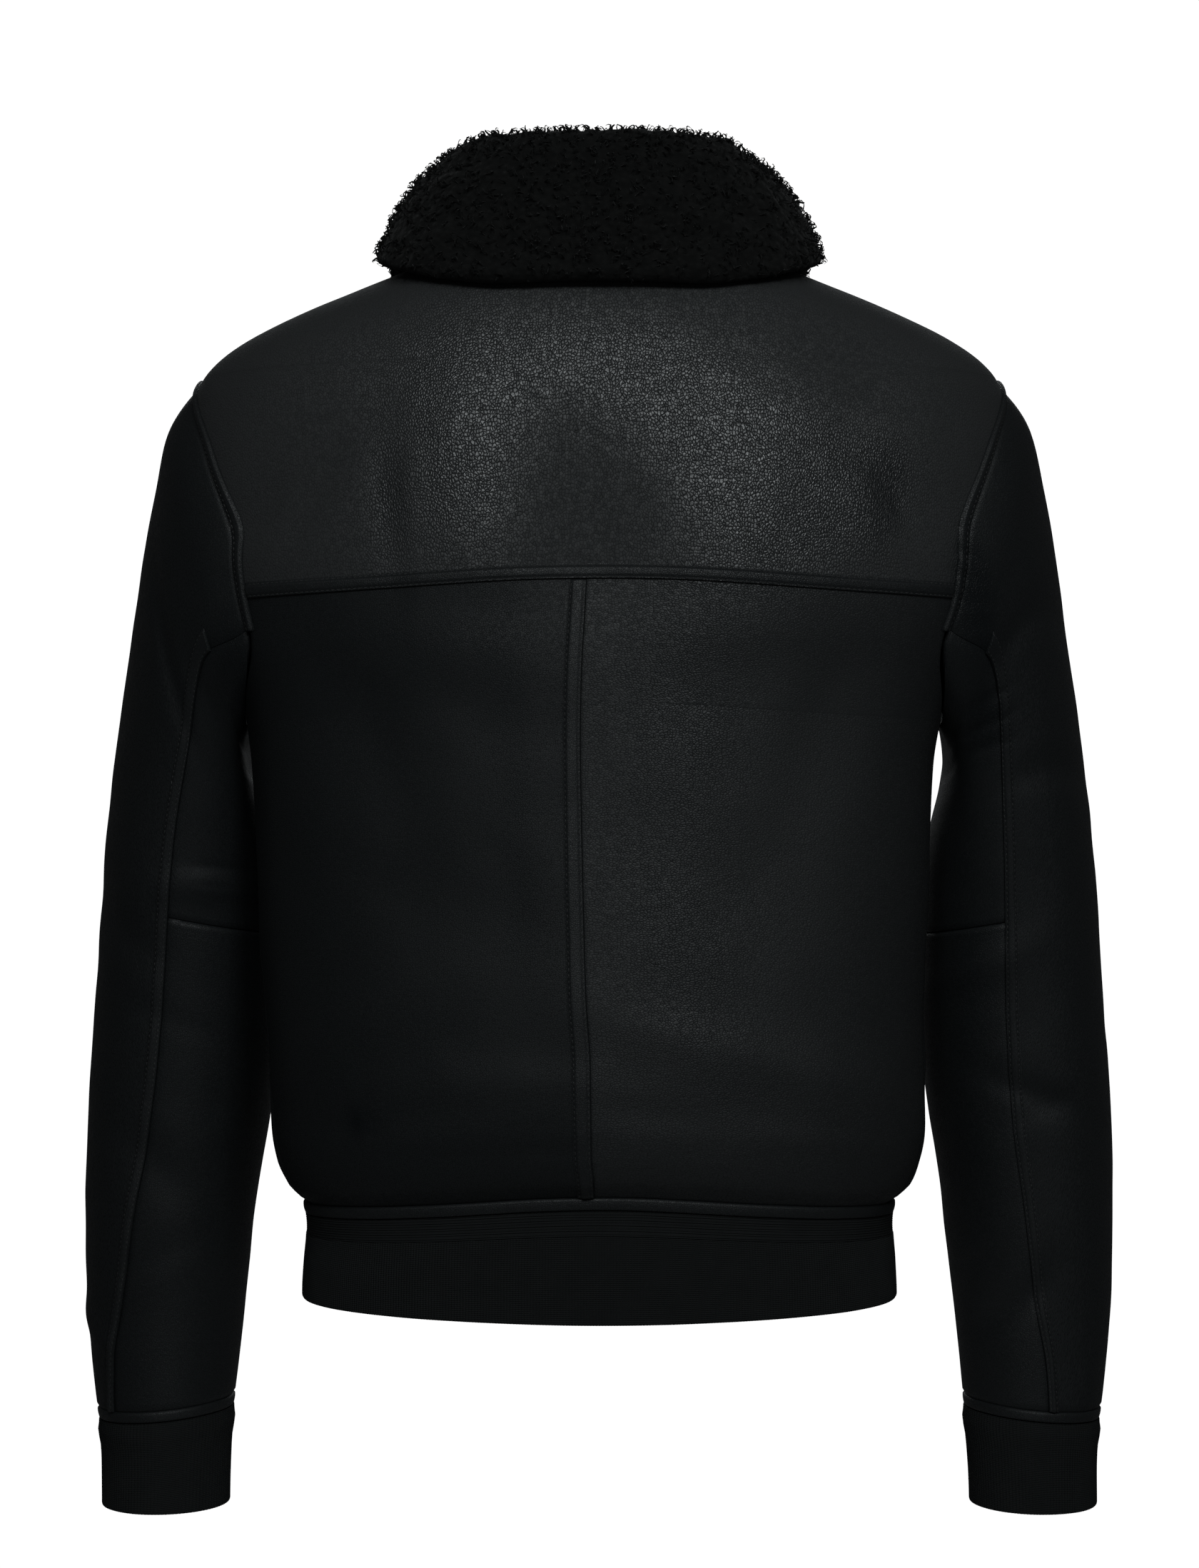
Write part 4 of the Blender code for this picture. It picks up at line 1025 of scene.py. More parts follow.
def make_back(sizes):
    made = []
    low = body_heights(WELT_TOP, YOKE_SEAM, sizes.back_pitch, 3)
    seam = smooth(BACK_SEAM, "angle", low) + SEAM_UNDER_STRIP
    for side, name in ((1, "back_left"), (-1, "back_right")):
        angles = spread(seam, side * edge_angle(low, False), BACK_COLUMNS)
        points, ways = body_skin(angles, low, -1, side)
        finishes = [leather(name), wool_lining()]
        piece = panel(name, points, ways, finishes, RIMS["back"])
        made.append(dress(piece, [name]))
    high = body_heights(YOKE_SEAM, NECK, sizes.back_pitch, 3)
    edge = edge_angle(high, False)
    halves = [body_skin(spread(0 * edge, s * edge, BACK_COLUMNS), high, -1, s) for s in (-1, 1)]
    points, ways = (np.concatenate([r[:, :0:-1], l], axis=1) for r, l in zip(*halves))
    finishes = [leather("back_yoke"), wool_lining()]
    piece = panel("back_yoke", points, ways, finishes, RIMS["back_yoke"])
    made.append(dress(piece, ["back_yoke"]))
    return made


def make_fronts(sizes):
    heights = body_heights(WELT_TOP, NECK, sizes.front_pitch, 3)
    for side, name in ((1, "front_left"), (-1, "front_right")):
        edge = side * zip_angle(ZIP_HALF, heights)
        angles = spread(side * edge_angle(heights, True), edge, FRONT_COLUMNS)
        points, ways = body_skin(angles, heights, 0, side, True)
        finishes = [leather("front"), wool_lining()]
        piece = panel(name, points, ways, finishes, RIMS["front"])
        dress(piece, [name])


def make_sleeves(sizes):
    for side, name in SIDES:
        seam = SEAM_START - SEAM_UNDER_STRIP
        upper = np.linspace(FRONT_SEAM - 360, seam, SLEEVE_COLUMNS + 1)
        under = np.linspace(seam, FRONT_SEAM, SLEEVE_COLUMNS // 5 * 3 + 1)
        pieces = (
            ("upper_sleeve", upper, 0, LEATHER_END_ROW),
            ("under_sleeve_top", under, 0, CROSS_SEAM_ROW),
            ("under_sleeve_low", under, CROSS_SEAM_ROW, LEATHER_END_ROW),
        )
        for start, rounds, first, last in pieces:
            rows = sleeve_rows(first, last, sizes.sleeve_pitch, 3)
            points, ways = sleeve_skin(side, rounds, rows)
            finishes = [leather("sleeve_" + name), wool_lining()]
            title = start + "_" + name
            piece = panel(title, points, ways, finishes, RIMS[start])
            dress(piece, [title])


def make_strips():
    """The taped seams of the back and the sleeves, and their stitches."""
    trim = leather("trim")
    rows = {"back": []}
    high, low = YOKE_SEAM + STRIP_HALF, YOKE_SEAM - STRIP_HALF
    levels = np.linspace(low, high, STRIP_COLUMNS + 1)
    edge = edge_angle(levels, False)
    ways_of = []
    for side in (-1, 1):
        angles = spread(0 * edge, side * (edge - EDGE_STRIP), YOKE_STRIP_COLUMNS)
        ways_of.append(body_skin(angles, levels, None, side))
    points, ways = (np.concatenate([r[:, :0:-1], l], axis=1) for r, l in zip(*ways_of))
    piece, sewn = strip("yoke_strip", points.swapaxes(0, 1), ways.swapaxes(0, 1), trim)
    dress(piece, ["yoke_strip"])
    rows["back"] += sewn
    heights = body_heights(WELT_TOP, YOKE_SEAM - STRIP_HALF, STRIP_PITCH)
    seam = smooth(BACK_SEAM, "angle", heights)
    points, ways = body_skin(spread(seam, seam + CENTRE_STRIP, STRIP_COLUMNS), heights)
    piece, sewn = strip("centre_back_strip", points, ways, trim)
    dress(piece, ["centre_back_strip"])
    rows["back"] += sewn
    foot = float(armhole_height(120.0))
    heights = body_heights(foot, SHOULDER_TIP, STRIP_PITCH)
    edge = edge_angle(heights, False)
    for side, name in SIDES:
        angles = spread(side * edge, side * (edge - EDGE_STRIP), STRIP_COLUMNS)
        points, ways = body_skin(angles, heights, 0, side)
        piece, sewn = strip("armhole_strip_" + name, points, ways, trim)
        dress(piece, ["armhole_strip_" + name])
        rows["back"] += sewn
        turns = np.linspace(SEAM_START, SEAM_START - SEAM_STRIP, STRIP_COLUMNS + 1)
        levels = sleeve_rows(STRIP_START_ROW, LEATHER_END_ROW, STRIP_PITCH)
        points, ways = sleeve_skin(side, turns, levels)
        piece, sewn = strip("sleeve_strip_" + name, points, ways, trim)
        dress(piece, ["sleeve_strip_" + name])
        rows["sleeve_" + name] = sewn
    for name, lines in rows.items():
        dress(sew("stitches_" + name, lines, thread()), [])


def even_angles(height, first, last, count):
    """Angles that divide a ring of the body into equal lengths."""
    dense = np.linspace(first, last, 3000)
    ring = body(dense, np.full(dense.shape, height))
    run = lengths(ring[None], 1)[0]
    return np.interp(np.linspace(0, run[-1], count + 1), run, dense)


def make_welts():
    trim = leather("trim")
    heights = np.linspace(RIB_TOP, WELT_TOP, WELT_ROWS)
    end = float(zip_angle(ZIP_HALF, np.array([WELT_TOP]))[0])
    turns = even_angles(WELT_TOP, -end, end, HEM_WELT_COLUMNS)
    angles = np.broadcast_to(turns, (len(heights), len(turns)))
    points, ways = body_skin(angles, heights)
    piece = panel("hem_welt", points, ways, [trim], RIMS["hem_welt"], RIB, 3, puff=HEM_WELT_PUFF)
    dress(piece, ["hem_welt"])
    rounds = np.linspace(0, 360, CUFF_WELT_COLUMNS, endpoint=False)
    for side, name in SIDES:
        rows = np.linspace(LEATHER_END_ROW, WELT_END_ROW, WELT_ROWS)
        points, ways = sleeve_skin(side, rounds, rows)
        options = {"thickness": RIB, "closed": True, "puff": CUFF_WELT_PUFF}
        piece = panel("cuff_welt_" + name, points, ways, [trim], RIMS["cuff_welt"], **options)
        dress(piece, ["cuff_welt_" + name])


def rib_profile(count, high):
    """Ribs across a knitted band: a ridge every four columns."""
    return high * (0.5 + 0.5 * np.cos(np.arange(count) * np.pi / 2))


def knit_wall(name, points, ways, ribs, finish, hem, closed):
    """A knitted band: ribs on its outer side, and both sides rounding in at the folded edge."""
    moved = draw_in(points, closed)
    down = edge_distances(points, closed)[hem]
    fold = rolled(down, RIB / 2)
    outer = moved + ways * (ribs - fold)[..., None]
    inner = moved - ways * (RIB - fold)[..., None]
    return shell(name + "_knit", outer, inner, 4, [finish], closed)


def make_hem():
    """The hem's rib: crosswise knit under the welt, then upright ribs down to the fold."""
    end = float(zip_angle(ZIP_HALF, np.array([RIB_TOP]))[0])
    turns = even_angles(HEM, -end, end, HEM_RIBS * 4)
    upright = np.linspace(HEM + HEM_FOLD_TOP, KNIT_TURN, 8)
    heights = np.concatenate([HEM + np.array(HEM_FOLD), upright])
    angles = np.broadcast_to(turns, (len(heights), len(turns)))
    points, ways = body_skin(angles, heights)
    ribs = np.broadcast_to(rib_profile(len(turns), RIB_RIDGE), points.shape[:2])
    dress(knit_wall("hem_rib", points, ways, ribs, knit(), 0, False), ["hem_rib"])
    turns = even_angles(HEM, -end, end, KNIT_TOP_COLUMNS)
    heights = np.linspace(KNIT_TURN, RIB_TOP, KNIT_COURSES * 4 + 1)
    angles = np.broadcast_to(turns, (len(heights), len(turns)))
    points, ways = body_skin(angles, heights)
    ribs = rib_profile(len(heights), RIB_RIDGE * 0.8)[:, None] * np.ones(len(turns))
    moved = draw_in(points, False)
    outer = moved + ways * (ribs - 0.0002)[..., None]
    piece = shell("hem_rib_top_knit", outer, moved - ways * RIB, 4, [knit()])
    dress(piece, ["hem_rib"])


def make_cuffs():
    rounds = np.linspace(0, 360, CUFF_RIBS * 4, endpoint=False)
    rows = np.linspace(WELT_END_ROW, CUFF_FOLD_ROWS[0], 13)
    rows = np.concatenate([rows, CUFF_FOLD_ROWS[1:]])
    near = np.exp(-(((rows - CUFF_GATHER_ROW) / CUFF_GATHER_WIDTH) ** 2))
    for side, name in SIDES:
        points, ways = sleeve_skin(side, rounds, rows)
        ribs = np.broadcast_to(rib_profile(len(rounds), RIB_RIDGE), points.shape[:2])
        ribs = ribs + CUFF_GATHER * near[:, None]
        piece = knit_wall("cuff_rib_" + name, points, ways, ribs, knit(), 1, True)
        dress(piece, ["cuff_rib_" + name])


def collar_sides():
    """Both sides of the collar: its middle path moved out and in, and rounded at the edges."""
    angles = np.linspace(-COLLAR_END, COLLAR_END, COLLAR_STEPS + 1)
    part, angle = np.meshgrid(np.linspace(0, 1, COLLAR_ROWS + 1), angles)
    reach, height = collar_path(angle, part)
    ahead, behind = collar_path(angle, part + 0.002), collar_path(angle, part - 0.002)
    along = unit(np.stack([ahead[0] - behind[0], ahead[1] - behind[1]], axis=-1))
    turn = np.radians(angle)
    middle = np.stack([reach * np.sin(turn), reach * np.cos(turn), height], axis=-1)
    out = np.stack([-along[..., 1] * np.sin(turn), -along[..., 1] * np.cos(turn), along[..., 0]], axis=-1)
    half = np.full(reach.shape, COLLAR / 2)
    for distance in edge_distances(middle):
        half -= rolled(distance, COLLAR / 2)
    half = np.maximum(half, 0.0004)
    curly = uneven(middle, COLLAR_LUMPS) * np.clip(half / (COLLAR / 2), 0.3, 1)
    outer = middle + out * (half + curly)[..., None]
    return outer, middle - out * half[..., None], out


def make_collar(sizes):
    outer, inner, _ = collar_sides()
    piece = shell("collar_wool", outer, inner, 2, [wool()])
    dress(piece, ["collar"], with_pieces=[make_curls(sizes)])


def curl_forms(roots, ways, along, count, random):
    """Locks of wool: a bent, tapering three-sided tube on each root, curling back on itself."""
    side = np.cross(ways, along)
    lean = random.uniform(0, 2 * np.pi, count)[:, None]
    first = np.cos(lean) * along + np.sin(lean) * side
    second = -np.sin(lean) * along + np.cos(lean) * side
    size = random.uniform(CURL_LENGTH[0], CURL_LENGTH[1], count)[:, None, None]
    t = np.linspace(0, 1, CURL_RINGS)[None, :, None]
    phase = random.uniform(0, 2 * np.pi, count)[:, None, None]
    rise = CURL_RISE * np.sin(t * CURL_TURN)
    run = CURL_RUN * t
    sway = CURL_SWAY * (np.sin(CURL_WAVE * t + phase) - np.sin(phase))
    line = roots[:, None] + size * (
        ways[:, None] * (rise - CURL_SUNK) + first[:, None] * run + second[:, None] * sway
    )
    turn = np.linspace(0, 2 * np.pi, CURL_SIDES, endpoint=False)[None, None, :, None]
    thick = random.uniform(CURL_WIDTH[0], CURL_WIDTH[1], count)[:, None, None, None] / 2
    thick = thick * (1 - CURL_TAPER * t[..., None] ** 1.5)
    flat = second[:, None, None] * np.cos(turn) + ways[:, None, None] * CURL_FLAT * np.sin(turn)
    return (line[:, :, None] + thick * flat).reshape(count, -1, 3)


def make_curls(sizes):
    """Thousands of locks over the collar's woolly side, closer together along its fold."""
    random = np.random.default_rng(CURL_SEED)
    outer, _, out = collar_sides()
    rows, columns = outer.shape[:2]
    count = sizes.curls
    row = random.uniform(0, rows - 1.001, count)
    column = random.uniform(0.02, 0.999, count) * (columns - 1.001)
    i, j = row.astype(int), column.astype(int)
    u, v = (row - i)[:, None], (column - j)[:, None]

    def read(grid):
        near = grid[i, j] * (1 - u) + grid[i + 1, j] * u
        return near * (1 - v) + (grid[i, j + 1] * (1 - u) + grid[i + 1, j + 1] * u) * v

    roots, ways = read(outer), unit(read(out))
    along = unit(np.gradient(outer, axis=1)[i, j])
    forms = curl_forms(roots, ways, along, count, random)
    quads, ends = tube_faces(CURL_RINGS, CURL_SIDES)
    points, faces = joined(forms, quads, ends)
    shade = np.repeat(random.uniform(0, 1, count), forms.shape[1])
    piece = make_mesh("collar_curls", points, faces, [wool()], fields={"lock": shade})
    return dress(piece, [])


def make_tapes():
    heights = np.linspace(HEM, NECK, TAPE_ROWS)
    for side, name in SIDES:
        edges = [side * zip_angle(half, heights) for half in (ZIP_HALF, CHAIN_HALF)]
        angles = spread(*edges, 9)
        points, ways = body_skin(angles, heights)
        moved = draw_in(points, False)
        outer, inner = moved - ways * TAPE_SUNK, moved - ways * (TAPE_SUNK + TAPE)
        piece = shell("zip_tape_" + name + "_cloth", outer, inner, 1, [knit()])
        dress(piece, ["zip_tape_" + name])


def make_teeth():
    """The zip's teeth: bevelled blocks from both sides that mesh along the middle line."""
    heights = np.linspace(HEM + 0.002, NECK - 0.002, 900)
    points, ways = body_skin(np.full((900, 1), 180.0), heights)
    line, way = points[:, 0] - ways[:, 0] * (CHAIN_SUNK + CHAIN / 2), ways[:, 0]
    run = float(lengths(line[None], 1)[0, -1])
    at = np.arange(TOOTH_PITCH / 2, run, TOOTH_PITCH / 2)
    middle = along_line(np.concatenate([line, way], axis=1), at)
    ahead, behind = along_line(line, at + 0.001), along_line(line, at - 0.001)
    along, out = unit(ahead - behind), unit(middle[:, 3:])
    side = np.cross(along, out) * np.where(np.arange(len(at)) % 2, 1, -1)[:, None]
    form = np.array([[x, y, z] for x in (-1, 1) for y in (-1, 1) for z in (-1, 1)], float)
    form = form * np.array(TOOTH_HALF)
    form[:, 0] *= np.where(form[:, 1] < 0, *TOOTH_SHAPE)
    form[:, 1] += TOOTH_ASIDE
    forms = middle[:, None, :3] + form[None, :, :1] * along[:, None]
    forms = forms + form[None, :, 1:2] * side[:, None] + form[None, :, 2:] * out[:, None]
    quads = np.array([[0, 1, 3, 2], [4, 6, 7, 5], [0, 4, 5, 1], [2, 3, 7, 6], [0, 2, 6, 4], [1, 5, 7, 3]])
    flip = forms.copy()
    flip[1::2] = forms[1::2][:, [1, 0, 3, 2, 5, 4, 7, 6]]
    copies = len(at)
    shift = (np.arange(copies) * 8)[:, None, None]
    faces = (quads[None] + shift).reshape(-1, 4)
    piece = make_mesh("zip_teeth", flip.reshape(-1, 3), [faces], [metal()])
    edge = piece.modifiers.new("edge", "BEVEL")
    edge.width = TOOTH_BEVEL
    edge.segments = 1
    dress(piece, ["zip_chain"])


def plate(name, outline, frame_of, depth, finish):
    """A flat form with rounded rims: its outline carried through the plate's thickness."""
    place, run, side, away = frame_of
    share = np.array([-1, -0.75, 0.75, 1])
    shrink = np.array([0.82, 1, 1, 0.82])
    rings = []
    for level, scale in zip(share, shrink):
        flat = outline * scale
        rings.append(place + flat[:, :1] * side + flat[:, 1:] * run + away * level * depth / 2)
    points = np.concatenate(rings)
    quads, ends = tube_faces(len(share), len(outline))
    return make_mesh(name, points, [quads, ends], [finish])


def rounded(turn, power, half, waist=0.0):
    """A rounded rectangle of a given half width and half length, narrower towards one end."""
    side, run = np.cos(turn), np.sin(turn)
    outline = np.stack([(1 - waist * run) * side, run], axis=-1)
    outline = outline * (np.abs(side) ** power + np.abs(run) ** power)[:, None] ** (-1 / power)
    return outline / np.abs(outline).max(axis=0) * np.array(half)


def make_slider():
    """The slider's plate, waisted like a shield, and the pull on it."""
    top, foot = SLIDER_Z, SLIDER_Z - PULL_LENGTH
    heights = np.linspace(ARMPIT, NECK, 400)
    middle = body(np.full(400, 180.0), heights)
    depth_at = np.interp([top, foot], middle[:, 2], middle[:, 1])
    run = unit(np.array([0.0, depth_at[1] - depth_at[0], foot - top]))
    away = np.array([0.0, run[2], -run[1]])
    side = np.array([1.0, 0.0, 0.0])
    place = np.array([0.0, depth_at[0], top])
    turn = np.linspace(0, 2 * np.pi, 40, endpoint=False)
    outline = rounded(turn, 4, SLIDER_HALF, SLIDER_WAIST)
    centre = place + away * (SEAM_GAP + SLIDER_DEPTH / 2)
    slider = plate("zip_slider_plate", outline, (centre, run, side, away), SLIDER_DEPTH, metal())
    dress(slider, ["zip_slider"])
    axis = place + away * (SEAM_GAP + SLIDER_DEPTH + PULL_CLEAR + PULL_DEPTH / 2)
    outline = rounded(turn, 6, PULL_HALF)
    share = np.clip((outline[:, 1] + PULL_HALF[1]) / PULL_LENGTH, 0, 1)
    outline[:, 0] *= 1 - PULL_NARROW + PULL_NARROW * share**0.5
    centre = axis + run * (PULL_LENGTH / 2 - PULL_END)
    pull = plate("zip_pull_tab", outline, (centre, run, side, away), PULL_DEPTH, metal())
    dress(pull, ["zip_pull"], PULL)


def feed(socket, value):
    """Links a socket, or sets its own value."""
    if isinstance(value, bpy.types.NodeSocket):
        socket.id_data.links.new(value, socket)
    else:
        socket.default_value = value


def node(tree, kind, inputs=None, **settings):
    made = tree.nodes.new(kind)
    for key, value in settings.items():
        setattr(made, key, value)
    for key, value in (inputs or {}).items():
        feed(made.inputs[key], value)
    return made


def sums(tree, operation, first, second):
    """One sum of two values."""
    return node(tree, "ShaderNodeMath", {0: first, 1: second}, operation=operation).outputs[0]


def plus(tree, first, second):
    return sums(tree, "ADD", first, second)


def times(tree, first, second):
    return sums(tree, "MULTIPLY", first, second)


def fade(tree, value, low, high, at_low=0.0, at_high=1.0):
    """A value carried smoothly from one range to another."""
    inputs = {"Value": value, "From Min": low, "From Max": high, "To Min": at_low, "To Max": at_high}
    made = node(tree, "ShaderNodeMapRange", inputs, interpolation_type="SMOOTHSTEP")
    return made.outputs["Result"]


def blend_colour(tree, share, first, second):
    made = node(tree, "ShaderNodeMix", data_type="RGBA")
    feed(made.inputs[0], share)
    feed(made.inputs[6], first)
    feed(made.inputs[7], second)
    return made.outputs[2]


def bumped(tree, shader, height, depth):
    """Gives a shader the relief of a height, in metres."""
    bump = node(tree, "ShaderNodeBump", {"Strength": 1.0, "Distance": depth, "Height": height})
    feed(shader.inputs["Normal"], bump.outputs["Normal"])


def coloured(tree, shader, share, first, second):
    """Gives a shader a blend of two colours."""
    feed(shader.inputs["Base Color"], blend_colour(tree, share, (*first, 1), (*second, 1)))


def noise(tree, place, scale, detail=2.0, rough=0.5):
    inputs = {"Vector": place, "Scale": scale, "Detail": detail, "Roughness": rough}
    return node(tree, "ShaderNodeTexNoise", inputs)


def new_material(name, roughness, metallic=0.0):
    """An empty material and its shader, or the one made before and no shader."""
    found = bpy.data.materials.get(name)
    if found:
        return found, None, None
    found = bpy.data.materials.new(name)
    found.use_nodes = True
    shader = found.node_tree.nodes["Principled BSDF"]
    shader.inputs["Roughness"].default_value = roughness
    shader.inputs["Metallic"].default_value = metallic
    return found, found.node_tree, shader


# Leathers: the size of a grain cell in metres, its stretch along and across the cut, how deep
# the cracks between cells are, how rough the leather is where it is matte and polished, and how
# strongly it reflects
LEATHERS = {
    "back_yoke": (0.0019, (1.2, 0.9), 0.00016, 0.78, 0.25, 0.55),
    "back_left": (0.0013, (1.0, 1.1), 0.00006, 0.44, 0.34, 0.16),
    "back_right": (0.0016, (0.85, 1.25), 0.00012, 0.52, 0.30, 0.32),
    "front": (0.0015, (1.0, 1.0), 0.00012, 0.44, 0.30, 0.25),
    "sleeve_left": (0.0013, (1.1, 0.9), 0.00008, 0.42, 0.32, 0.18),
    "sleeve_right": (0.0013, (1.15, 0.9), 0.00010, 0.42, 0.28, 0.20),
    "trim": (0.0012, (1.0, 1.0), 0.00009, 0.42, 0.28, 0.24),
}


def drifted(tree, place, scale, far):
    """Coordinates pushed about by a noise, so that what lies on them is stretched unevenly."""
    push = noise(tree, place, scale, 2.0).outputs["Color"]
    push = node(tree, "ShaderNodeVectorMath", {0: push, 1: (0.5, 0.5, 0.5)}, operation="SUBTRACT")
    push = node(tree, "ShaderNodeVectorMath", {0: push.outputs[0], "Scale": far}, operation="SCALE")
    return node(tree, "ShaderNodeVectorMath", {0: place, 1: push.outputs[0]}, operation="ADD").outputs[0]


def leather(name):
    """Waxed leather: pebbled cells with cracks between them, more polished where it rubs, and a painted
    shade in the cracks.
    """
    cell, stretch, depth, matte, polished, reflects = LEATHERS[name]
    made, tree, shader = new_material("leather_" + name, matte)
    if tree is None:
        return made
    cut = node(tree, "ShaderNodeUVMap", uv_map="cut").outputs["UV"]
    polish = node(tree, "ShaderNodeAttribute", attribute_name="polish").outputs["Fac"]
    place = drifted(tree, cut, 30.0, cell * 3.2)
    place = drifted(tree, place, 0.30 / cell, cell * 1.2)
    place = node(tree, "ShaderNodeMapping", {"Vector": place, "Scale": (*stretch, 1.0)}).outputs[0]
    inputs = {"Vector": place, "Scale": 1 / cell}
    settings = {"voronoi_dimensions": "2D", "feature": "DISTANCE_TO_EDGE"}
    gap = node(tree, "ShaderNodeTexVoronoi", inputs, **settings).outputs["Distance"]
    tone = node(tree, "ShaderNodeTexVoronoi", inputs, voronoi_dimensions="2D").outputs["Color"]
    tone = node(tree, "ShaderNodeSeparateColor", {"Color": tone}).outputs["Red"]
    fine = noise(tree, cut, 2600.0, 3.0, 0.6).outputs["Fac"]
    broad = noise(tree, cut, 38.0, 3.0, 0.6).outputs["Fac"]
    uneven = noise(tree, cut, 0.8 / cell, 2.0, 0.6).outputs["Fac"]
    gap = times(tree, gap, fade(tree, uneven, 0.30, 0.70, 0.6, 1.7))
    pebble = plus(tree, fade(tree, gap, 0.0, 0.20), fade(tree, gap, 0.0, 0.60))
    strength = fade(tree, plus(tree, polish, times(tree, broad, 0.35)), 0.05, 0.85, 0.45, 1.0)
    height = times(tree, pebble, plus(tree, times(tree, tone, 0.5), 0.4))
    height = times(tree, height, strength)
    height = plus(tree, height, times(tree, uneven, 1.2))
    height = plus(tree, height, times(tree, fine, 0.35))
    bumped(tree, shader, height, depth)
    gloss = fade(tree, plus(tree, polish, times(tree, broad, 0.25)), 0.10, 1.05)
    top = times(tree, gloss, fade(tree, gap, 0.02, 0.22))
    spread_out = times(tree, tone, 0.16)
    rough = sums(tree, "SUBTRACT", matte, times(tree, top, matte - polished))
    # Mask of the cracks, which sets both their roughness and their painted shade
    crack_and_shade = fade(tree, gap, 0.01, 0.12)
    dull = fade(tree, crack_and_shade, 0.0, 1.0, CRACK_ROUGH - matte, 0.0)
    rough = plus(tree, rough, times(tree, dull, strength))
    feed(shader.inputs["Roughness"], plus(tree, rough, spread_out))
    worn = blend_colour(tree, gloss, (*LEATHER_DARK, 1), (*LEATHER_WORN, 1))
    # Painted shade: the cracks between cells take a near-black colour
    feed(shader.inputs["Base Color"], blend_colour(tree, crack_and_shade, (*LEATHER_CRACK_SHADE, 1), worn))
    shader.inputs["Specular IOR Level"].default_value = reflects
    return made


def woolly(name, colour, light, cell, depth):
    """Clipped wool: soft uneven tufts of two sizes, with paler tips and a faint sheen."""
    made, tree, shader = new_material(name, 0.88)
    if tree is None:
        return made
    place = node(tree, "ShaderNodeTexCoord").outputs["Object"]
    tufts = node(tree, "ShaderNodeTexVoronoi", {"Vector": place, "Scale": 1 / cell}, feature="SMOOTH_F1")
    fine = noise(tree, place, 1500.0, 3.0, 0.65).outputs["Fac"]
    tip = fade(tree, tufts.outputs["Distance"], 0.75, 0.05)
    height = plus(tree, tip, times(tree, fine, 0.5))
    bumped(tree, shader, height, depth)
    share = times(tree, tip, fine)
    coloured(tree, shader, share, colour, light)
    shader.inputs["Specular IOR Level"].default_value = 0.12
    shader.inputs["Sheen Weight"].default_value = 0.04
    shader.inputs["Sheen Roughness"].default_value = 0.5
    return made


def wool():
    return woolly("curled_wool", WOOL_DARK, WOOL_TIP, 0.0035, 0.0009)


def wool_lining():
    return woolly("wool_lining", WOOL_DARK, WOOL_TIP, 0.0045, 0.0016)


def knit():
    """Wool rib: small rows of loops along each ridge, matte and slightly hairy."""
    made, tree, shader = new_material("knitted_rib", 0.86)
    if tree is None:
        return made
    cut = node(tree, "ShaderNodeUVMap", uv_map="cut").outputs["UV"]
    parts = node(tree, "ShaderNodeSeparateXYZ", {"Vector": cut})
    across = times(tree, parts.outputs["X"], 2 * math.pi / KNIT_WALE)
    slant = times(tree, sums(tree, "ABSOLUTE", sums(tree, "SINE", across, 0.0), 0.0), 1.6)
    down = times(tree, parts.outputs["Y"], 2 * math.pi / KNIT_LOOP)
    loops = sums(tree, "SINE", plus(tree, down, slant), 0.0)
    hair = noise(tree, cut, 2200.0, 3.0, 0.7).outputs["Fac"]
    height = plus(tree, times(tree, loops, 0.5), hair)
    bumped(tree, shader, height, 0.00030)
    tone = noise(tree, cut, 60.0, 3.0, 0.6).outputs["Fac"]
    coloured(tree, shader, tone, KNIT_DARK, KNIT_LIGHT)
    shader.inputs["Specular IOR Level"].default_value = 0.08
    return made


def thread():
    """Twisted thread: slanting plies over each stitch."""
    made, tree, shader = new_material("sewing_thread", 0.55)
    if tree is None:
        return made
    place = node(tree, "ShaderNodeTexCoord").outputs["Object"]
    plies = node(tree, "ShaderNodeTexWave", {"Vector": place, "Scale": 900.0, "Distortion": 1.5})
    bumped(tree, shader, plies.outputs["Fac"], 0.0001)
    coloured(tree, shader, plies.outputs["Fac"], THREAD_DARK, THREAD_LIGHT)
    return made


def metal():
    """Dark nickel: fine scratches and slightly tarnished hollows."""
    made, tree, shader = new_material("dark_nickel", 0.3, 1.0)
    if tree is None:
        return made
    place = node(tree, "ShaderNodeTexCoord").outputs["Object"]
    tarnish = noise(tree, place, 260.0, 4.0, 0.6).outputs["Fac"]
    scratch = node(tree, "ShaderNodeMapping", {"Vector": place, "Scale": (1.0, 1.0, 0.06)}).outputs[0]
    scratch = noise(tree, scratch, 3000.0, 2.0).outputs["Fac"]
    feed(shader.inputs["Roughness"], fade(tree, tarnish, 0.2, 0.8, 0.22, 0.42))
    coloured(tree, shader, tarnish, METAL_DARK, METAL_LIGHT)
    bumped(tree, shader, scratch, 0.00004)
    return made


def softbox(name, place, aim, size, power):
    """An area light at a place, turned towards the point that it aims at."""
    light = bpy.data.lights.new(name, "AREA")
    light.shape = "RECTANGLE"
    light.size, light.size_y = size
    light.energy = power
    light.color = LIGHT_COLOUR
    lamp = bpy.data.objects.new(name, light)
    lamp.location = place
    direction = Vector(aim) - Vector(place)
    lamp.rotation_euler = direction.to_track_quat("-Z", "Y").to_euler()
    bpy.context.scene.collection.objects.link(lamp)
    return lamp


def make_lights(sizes):
    for name, place, aim, size, power in SOFTBOXES:
        softbox(name, place, aim, size, power * sizes.light)


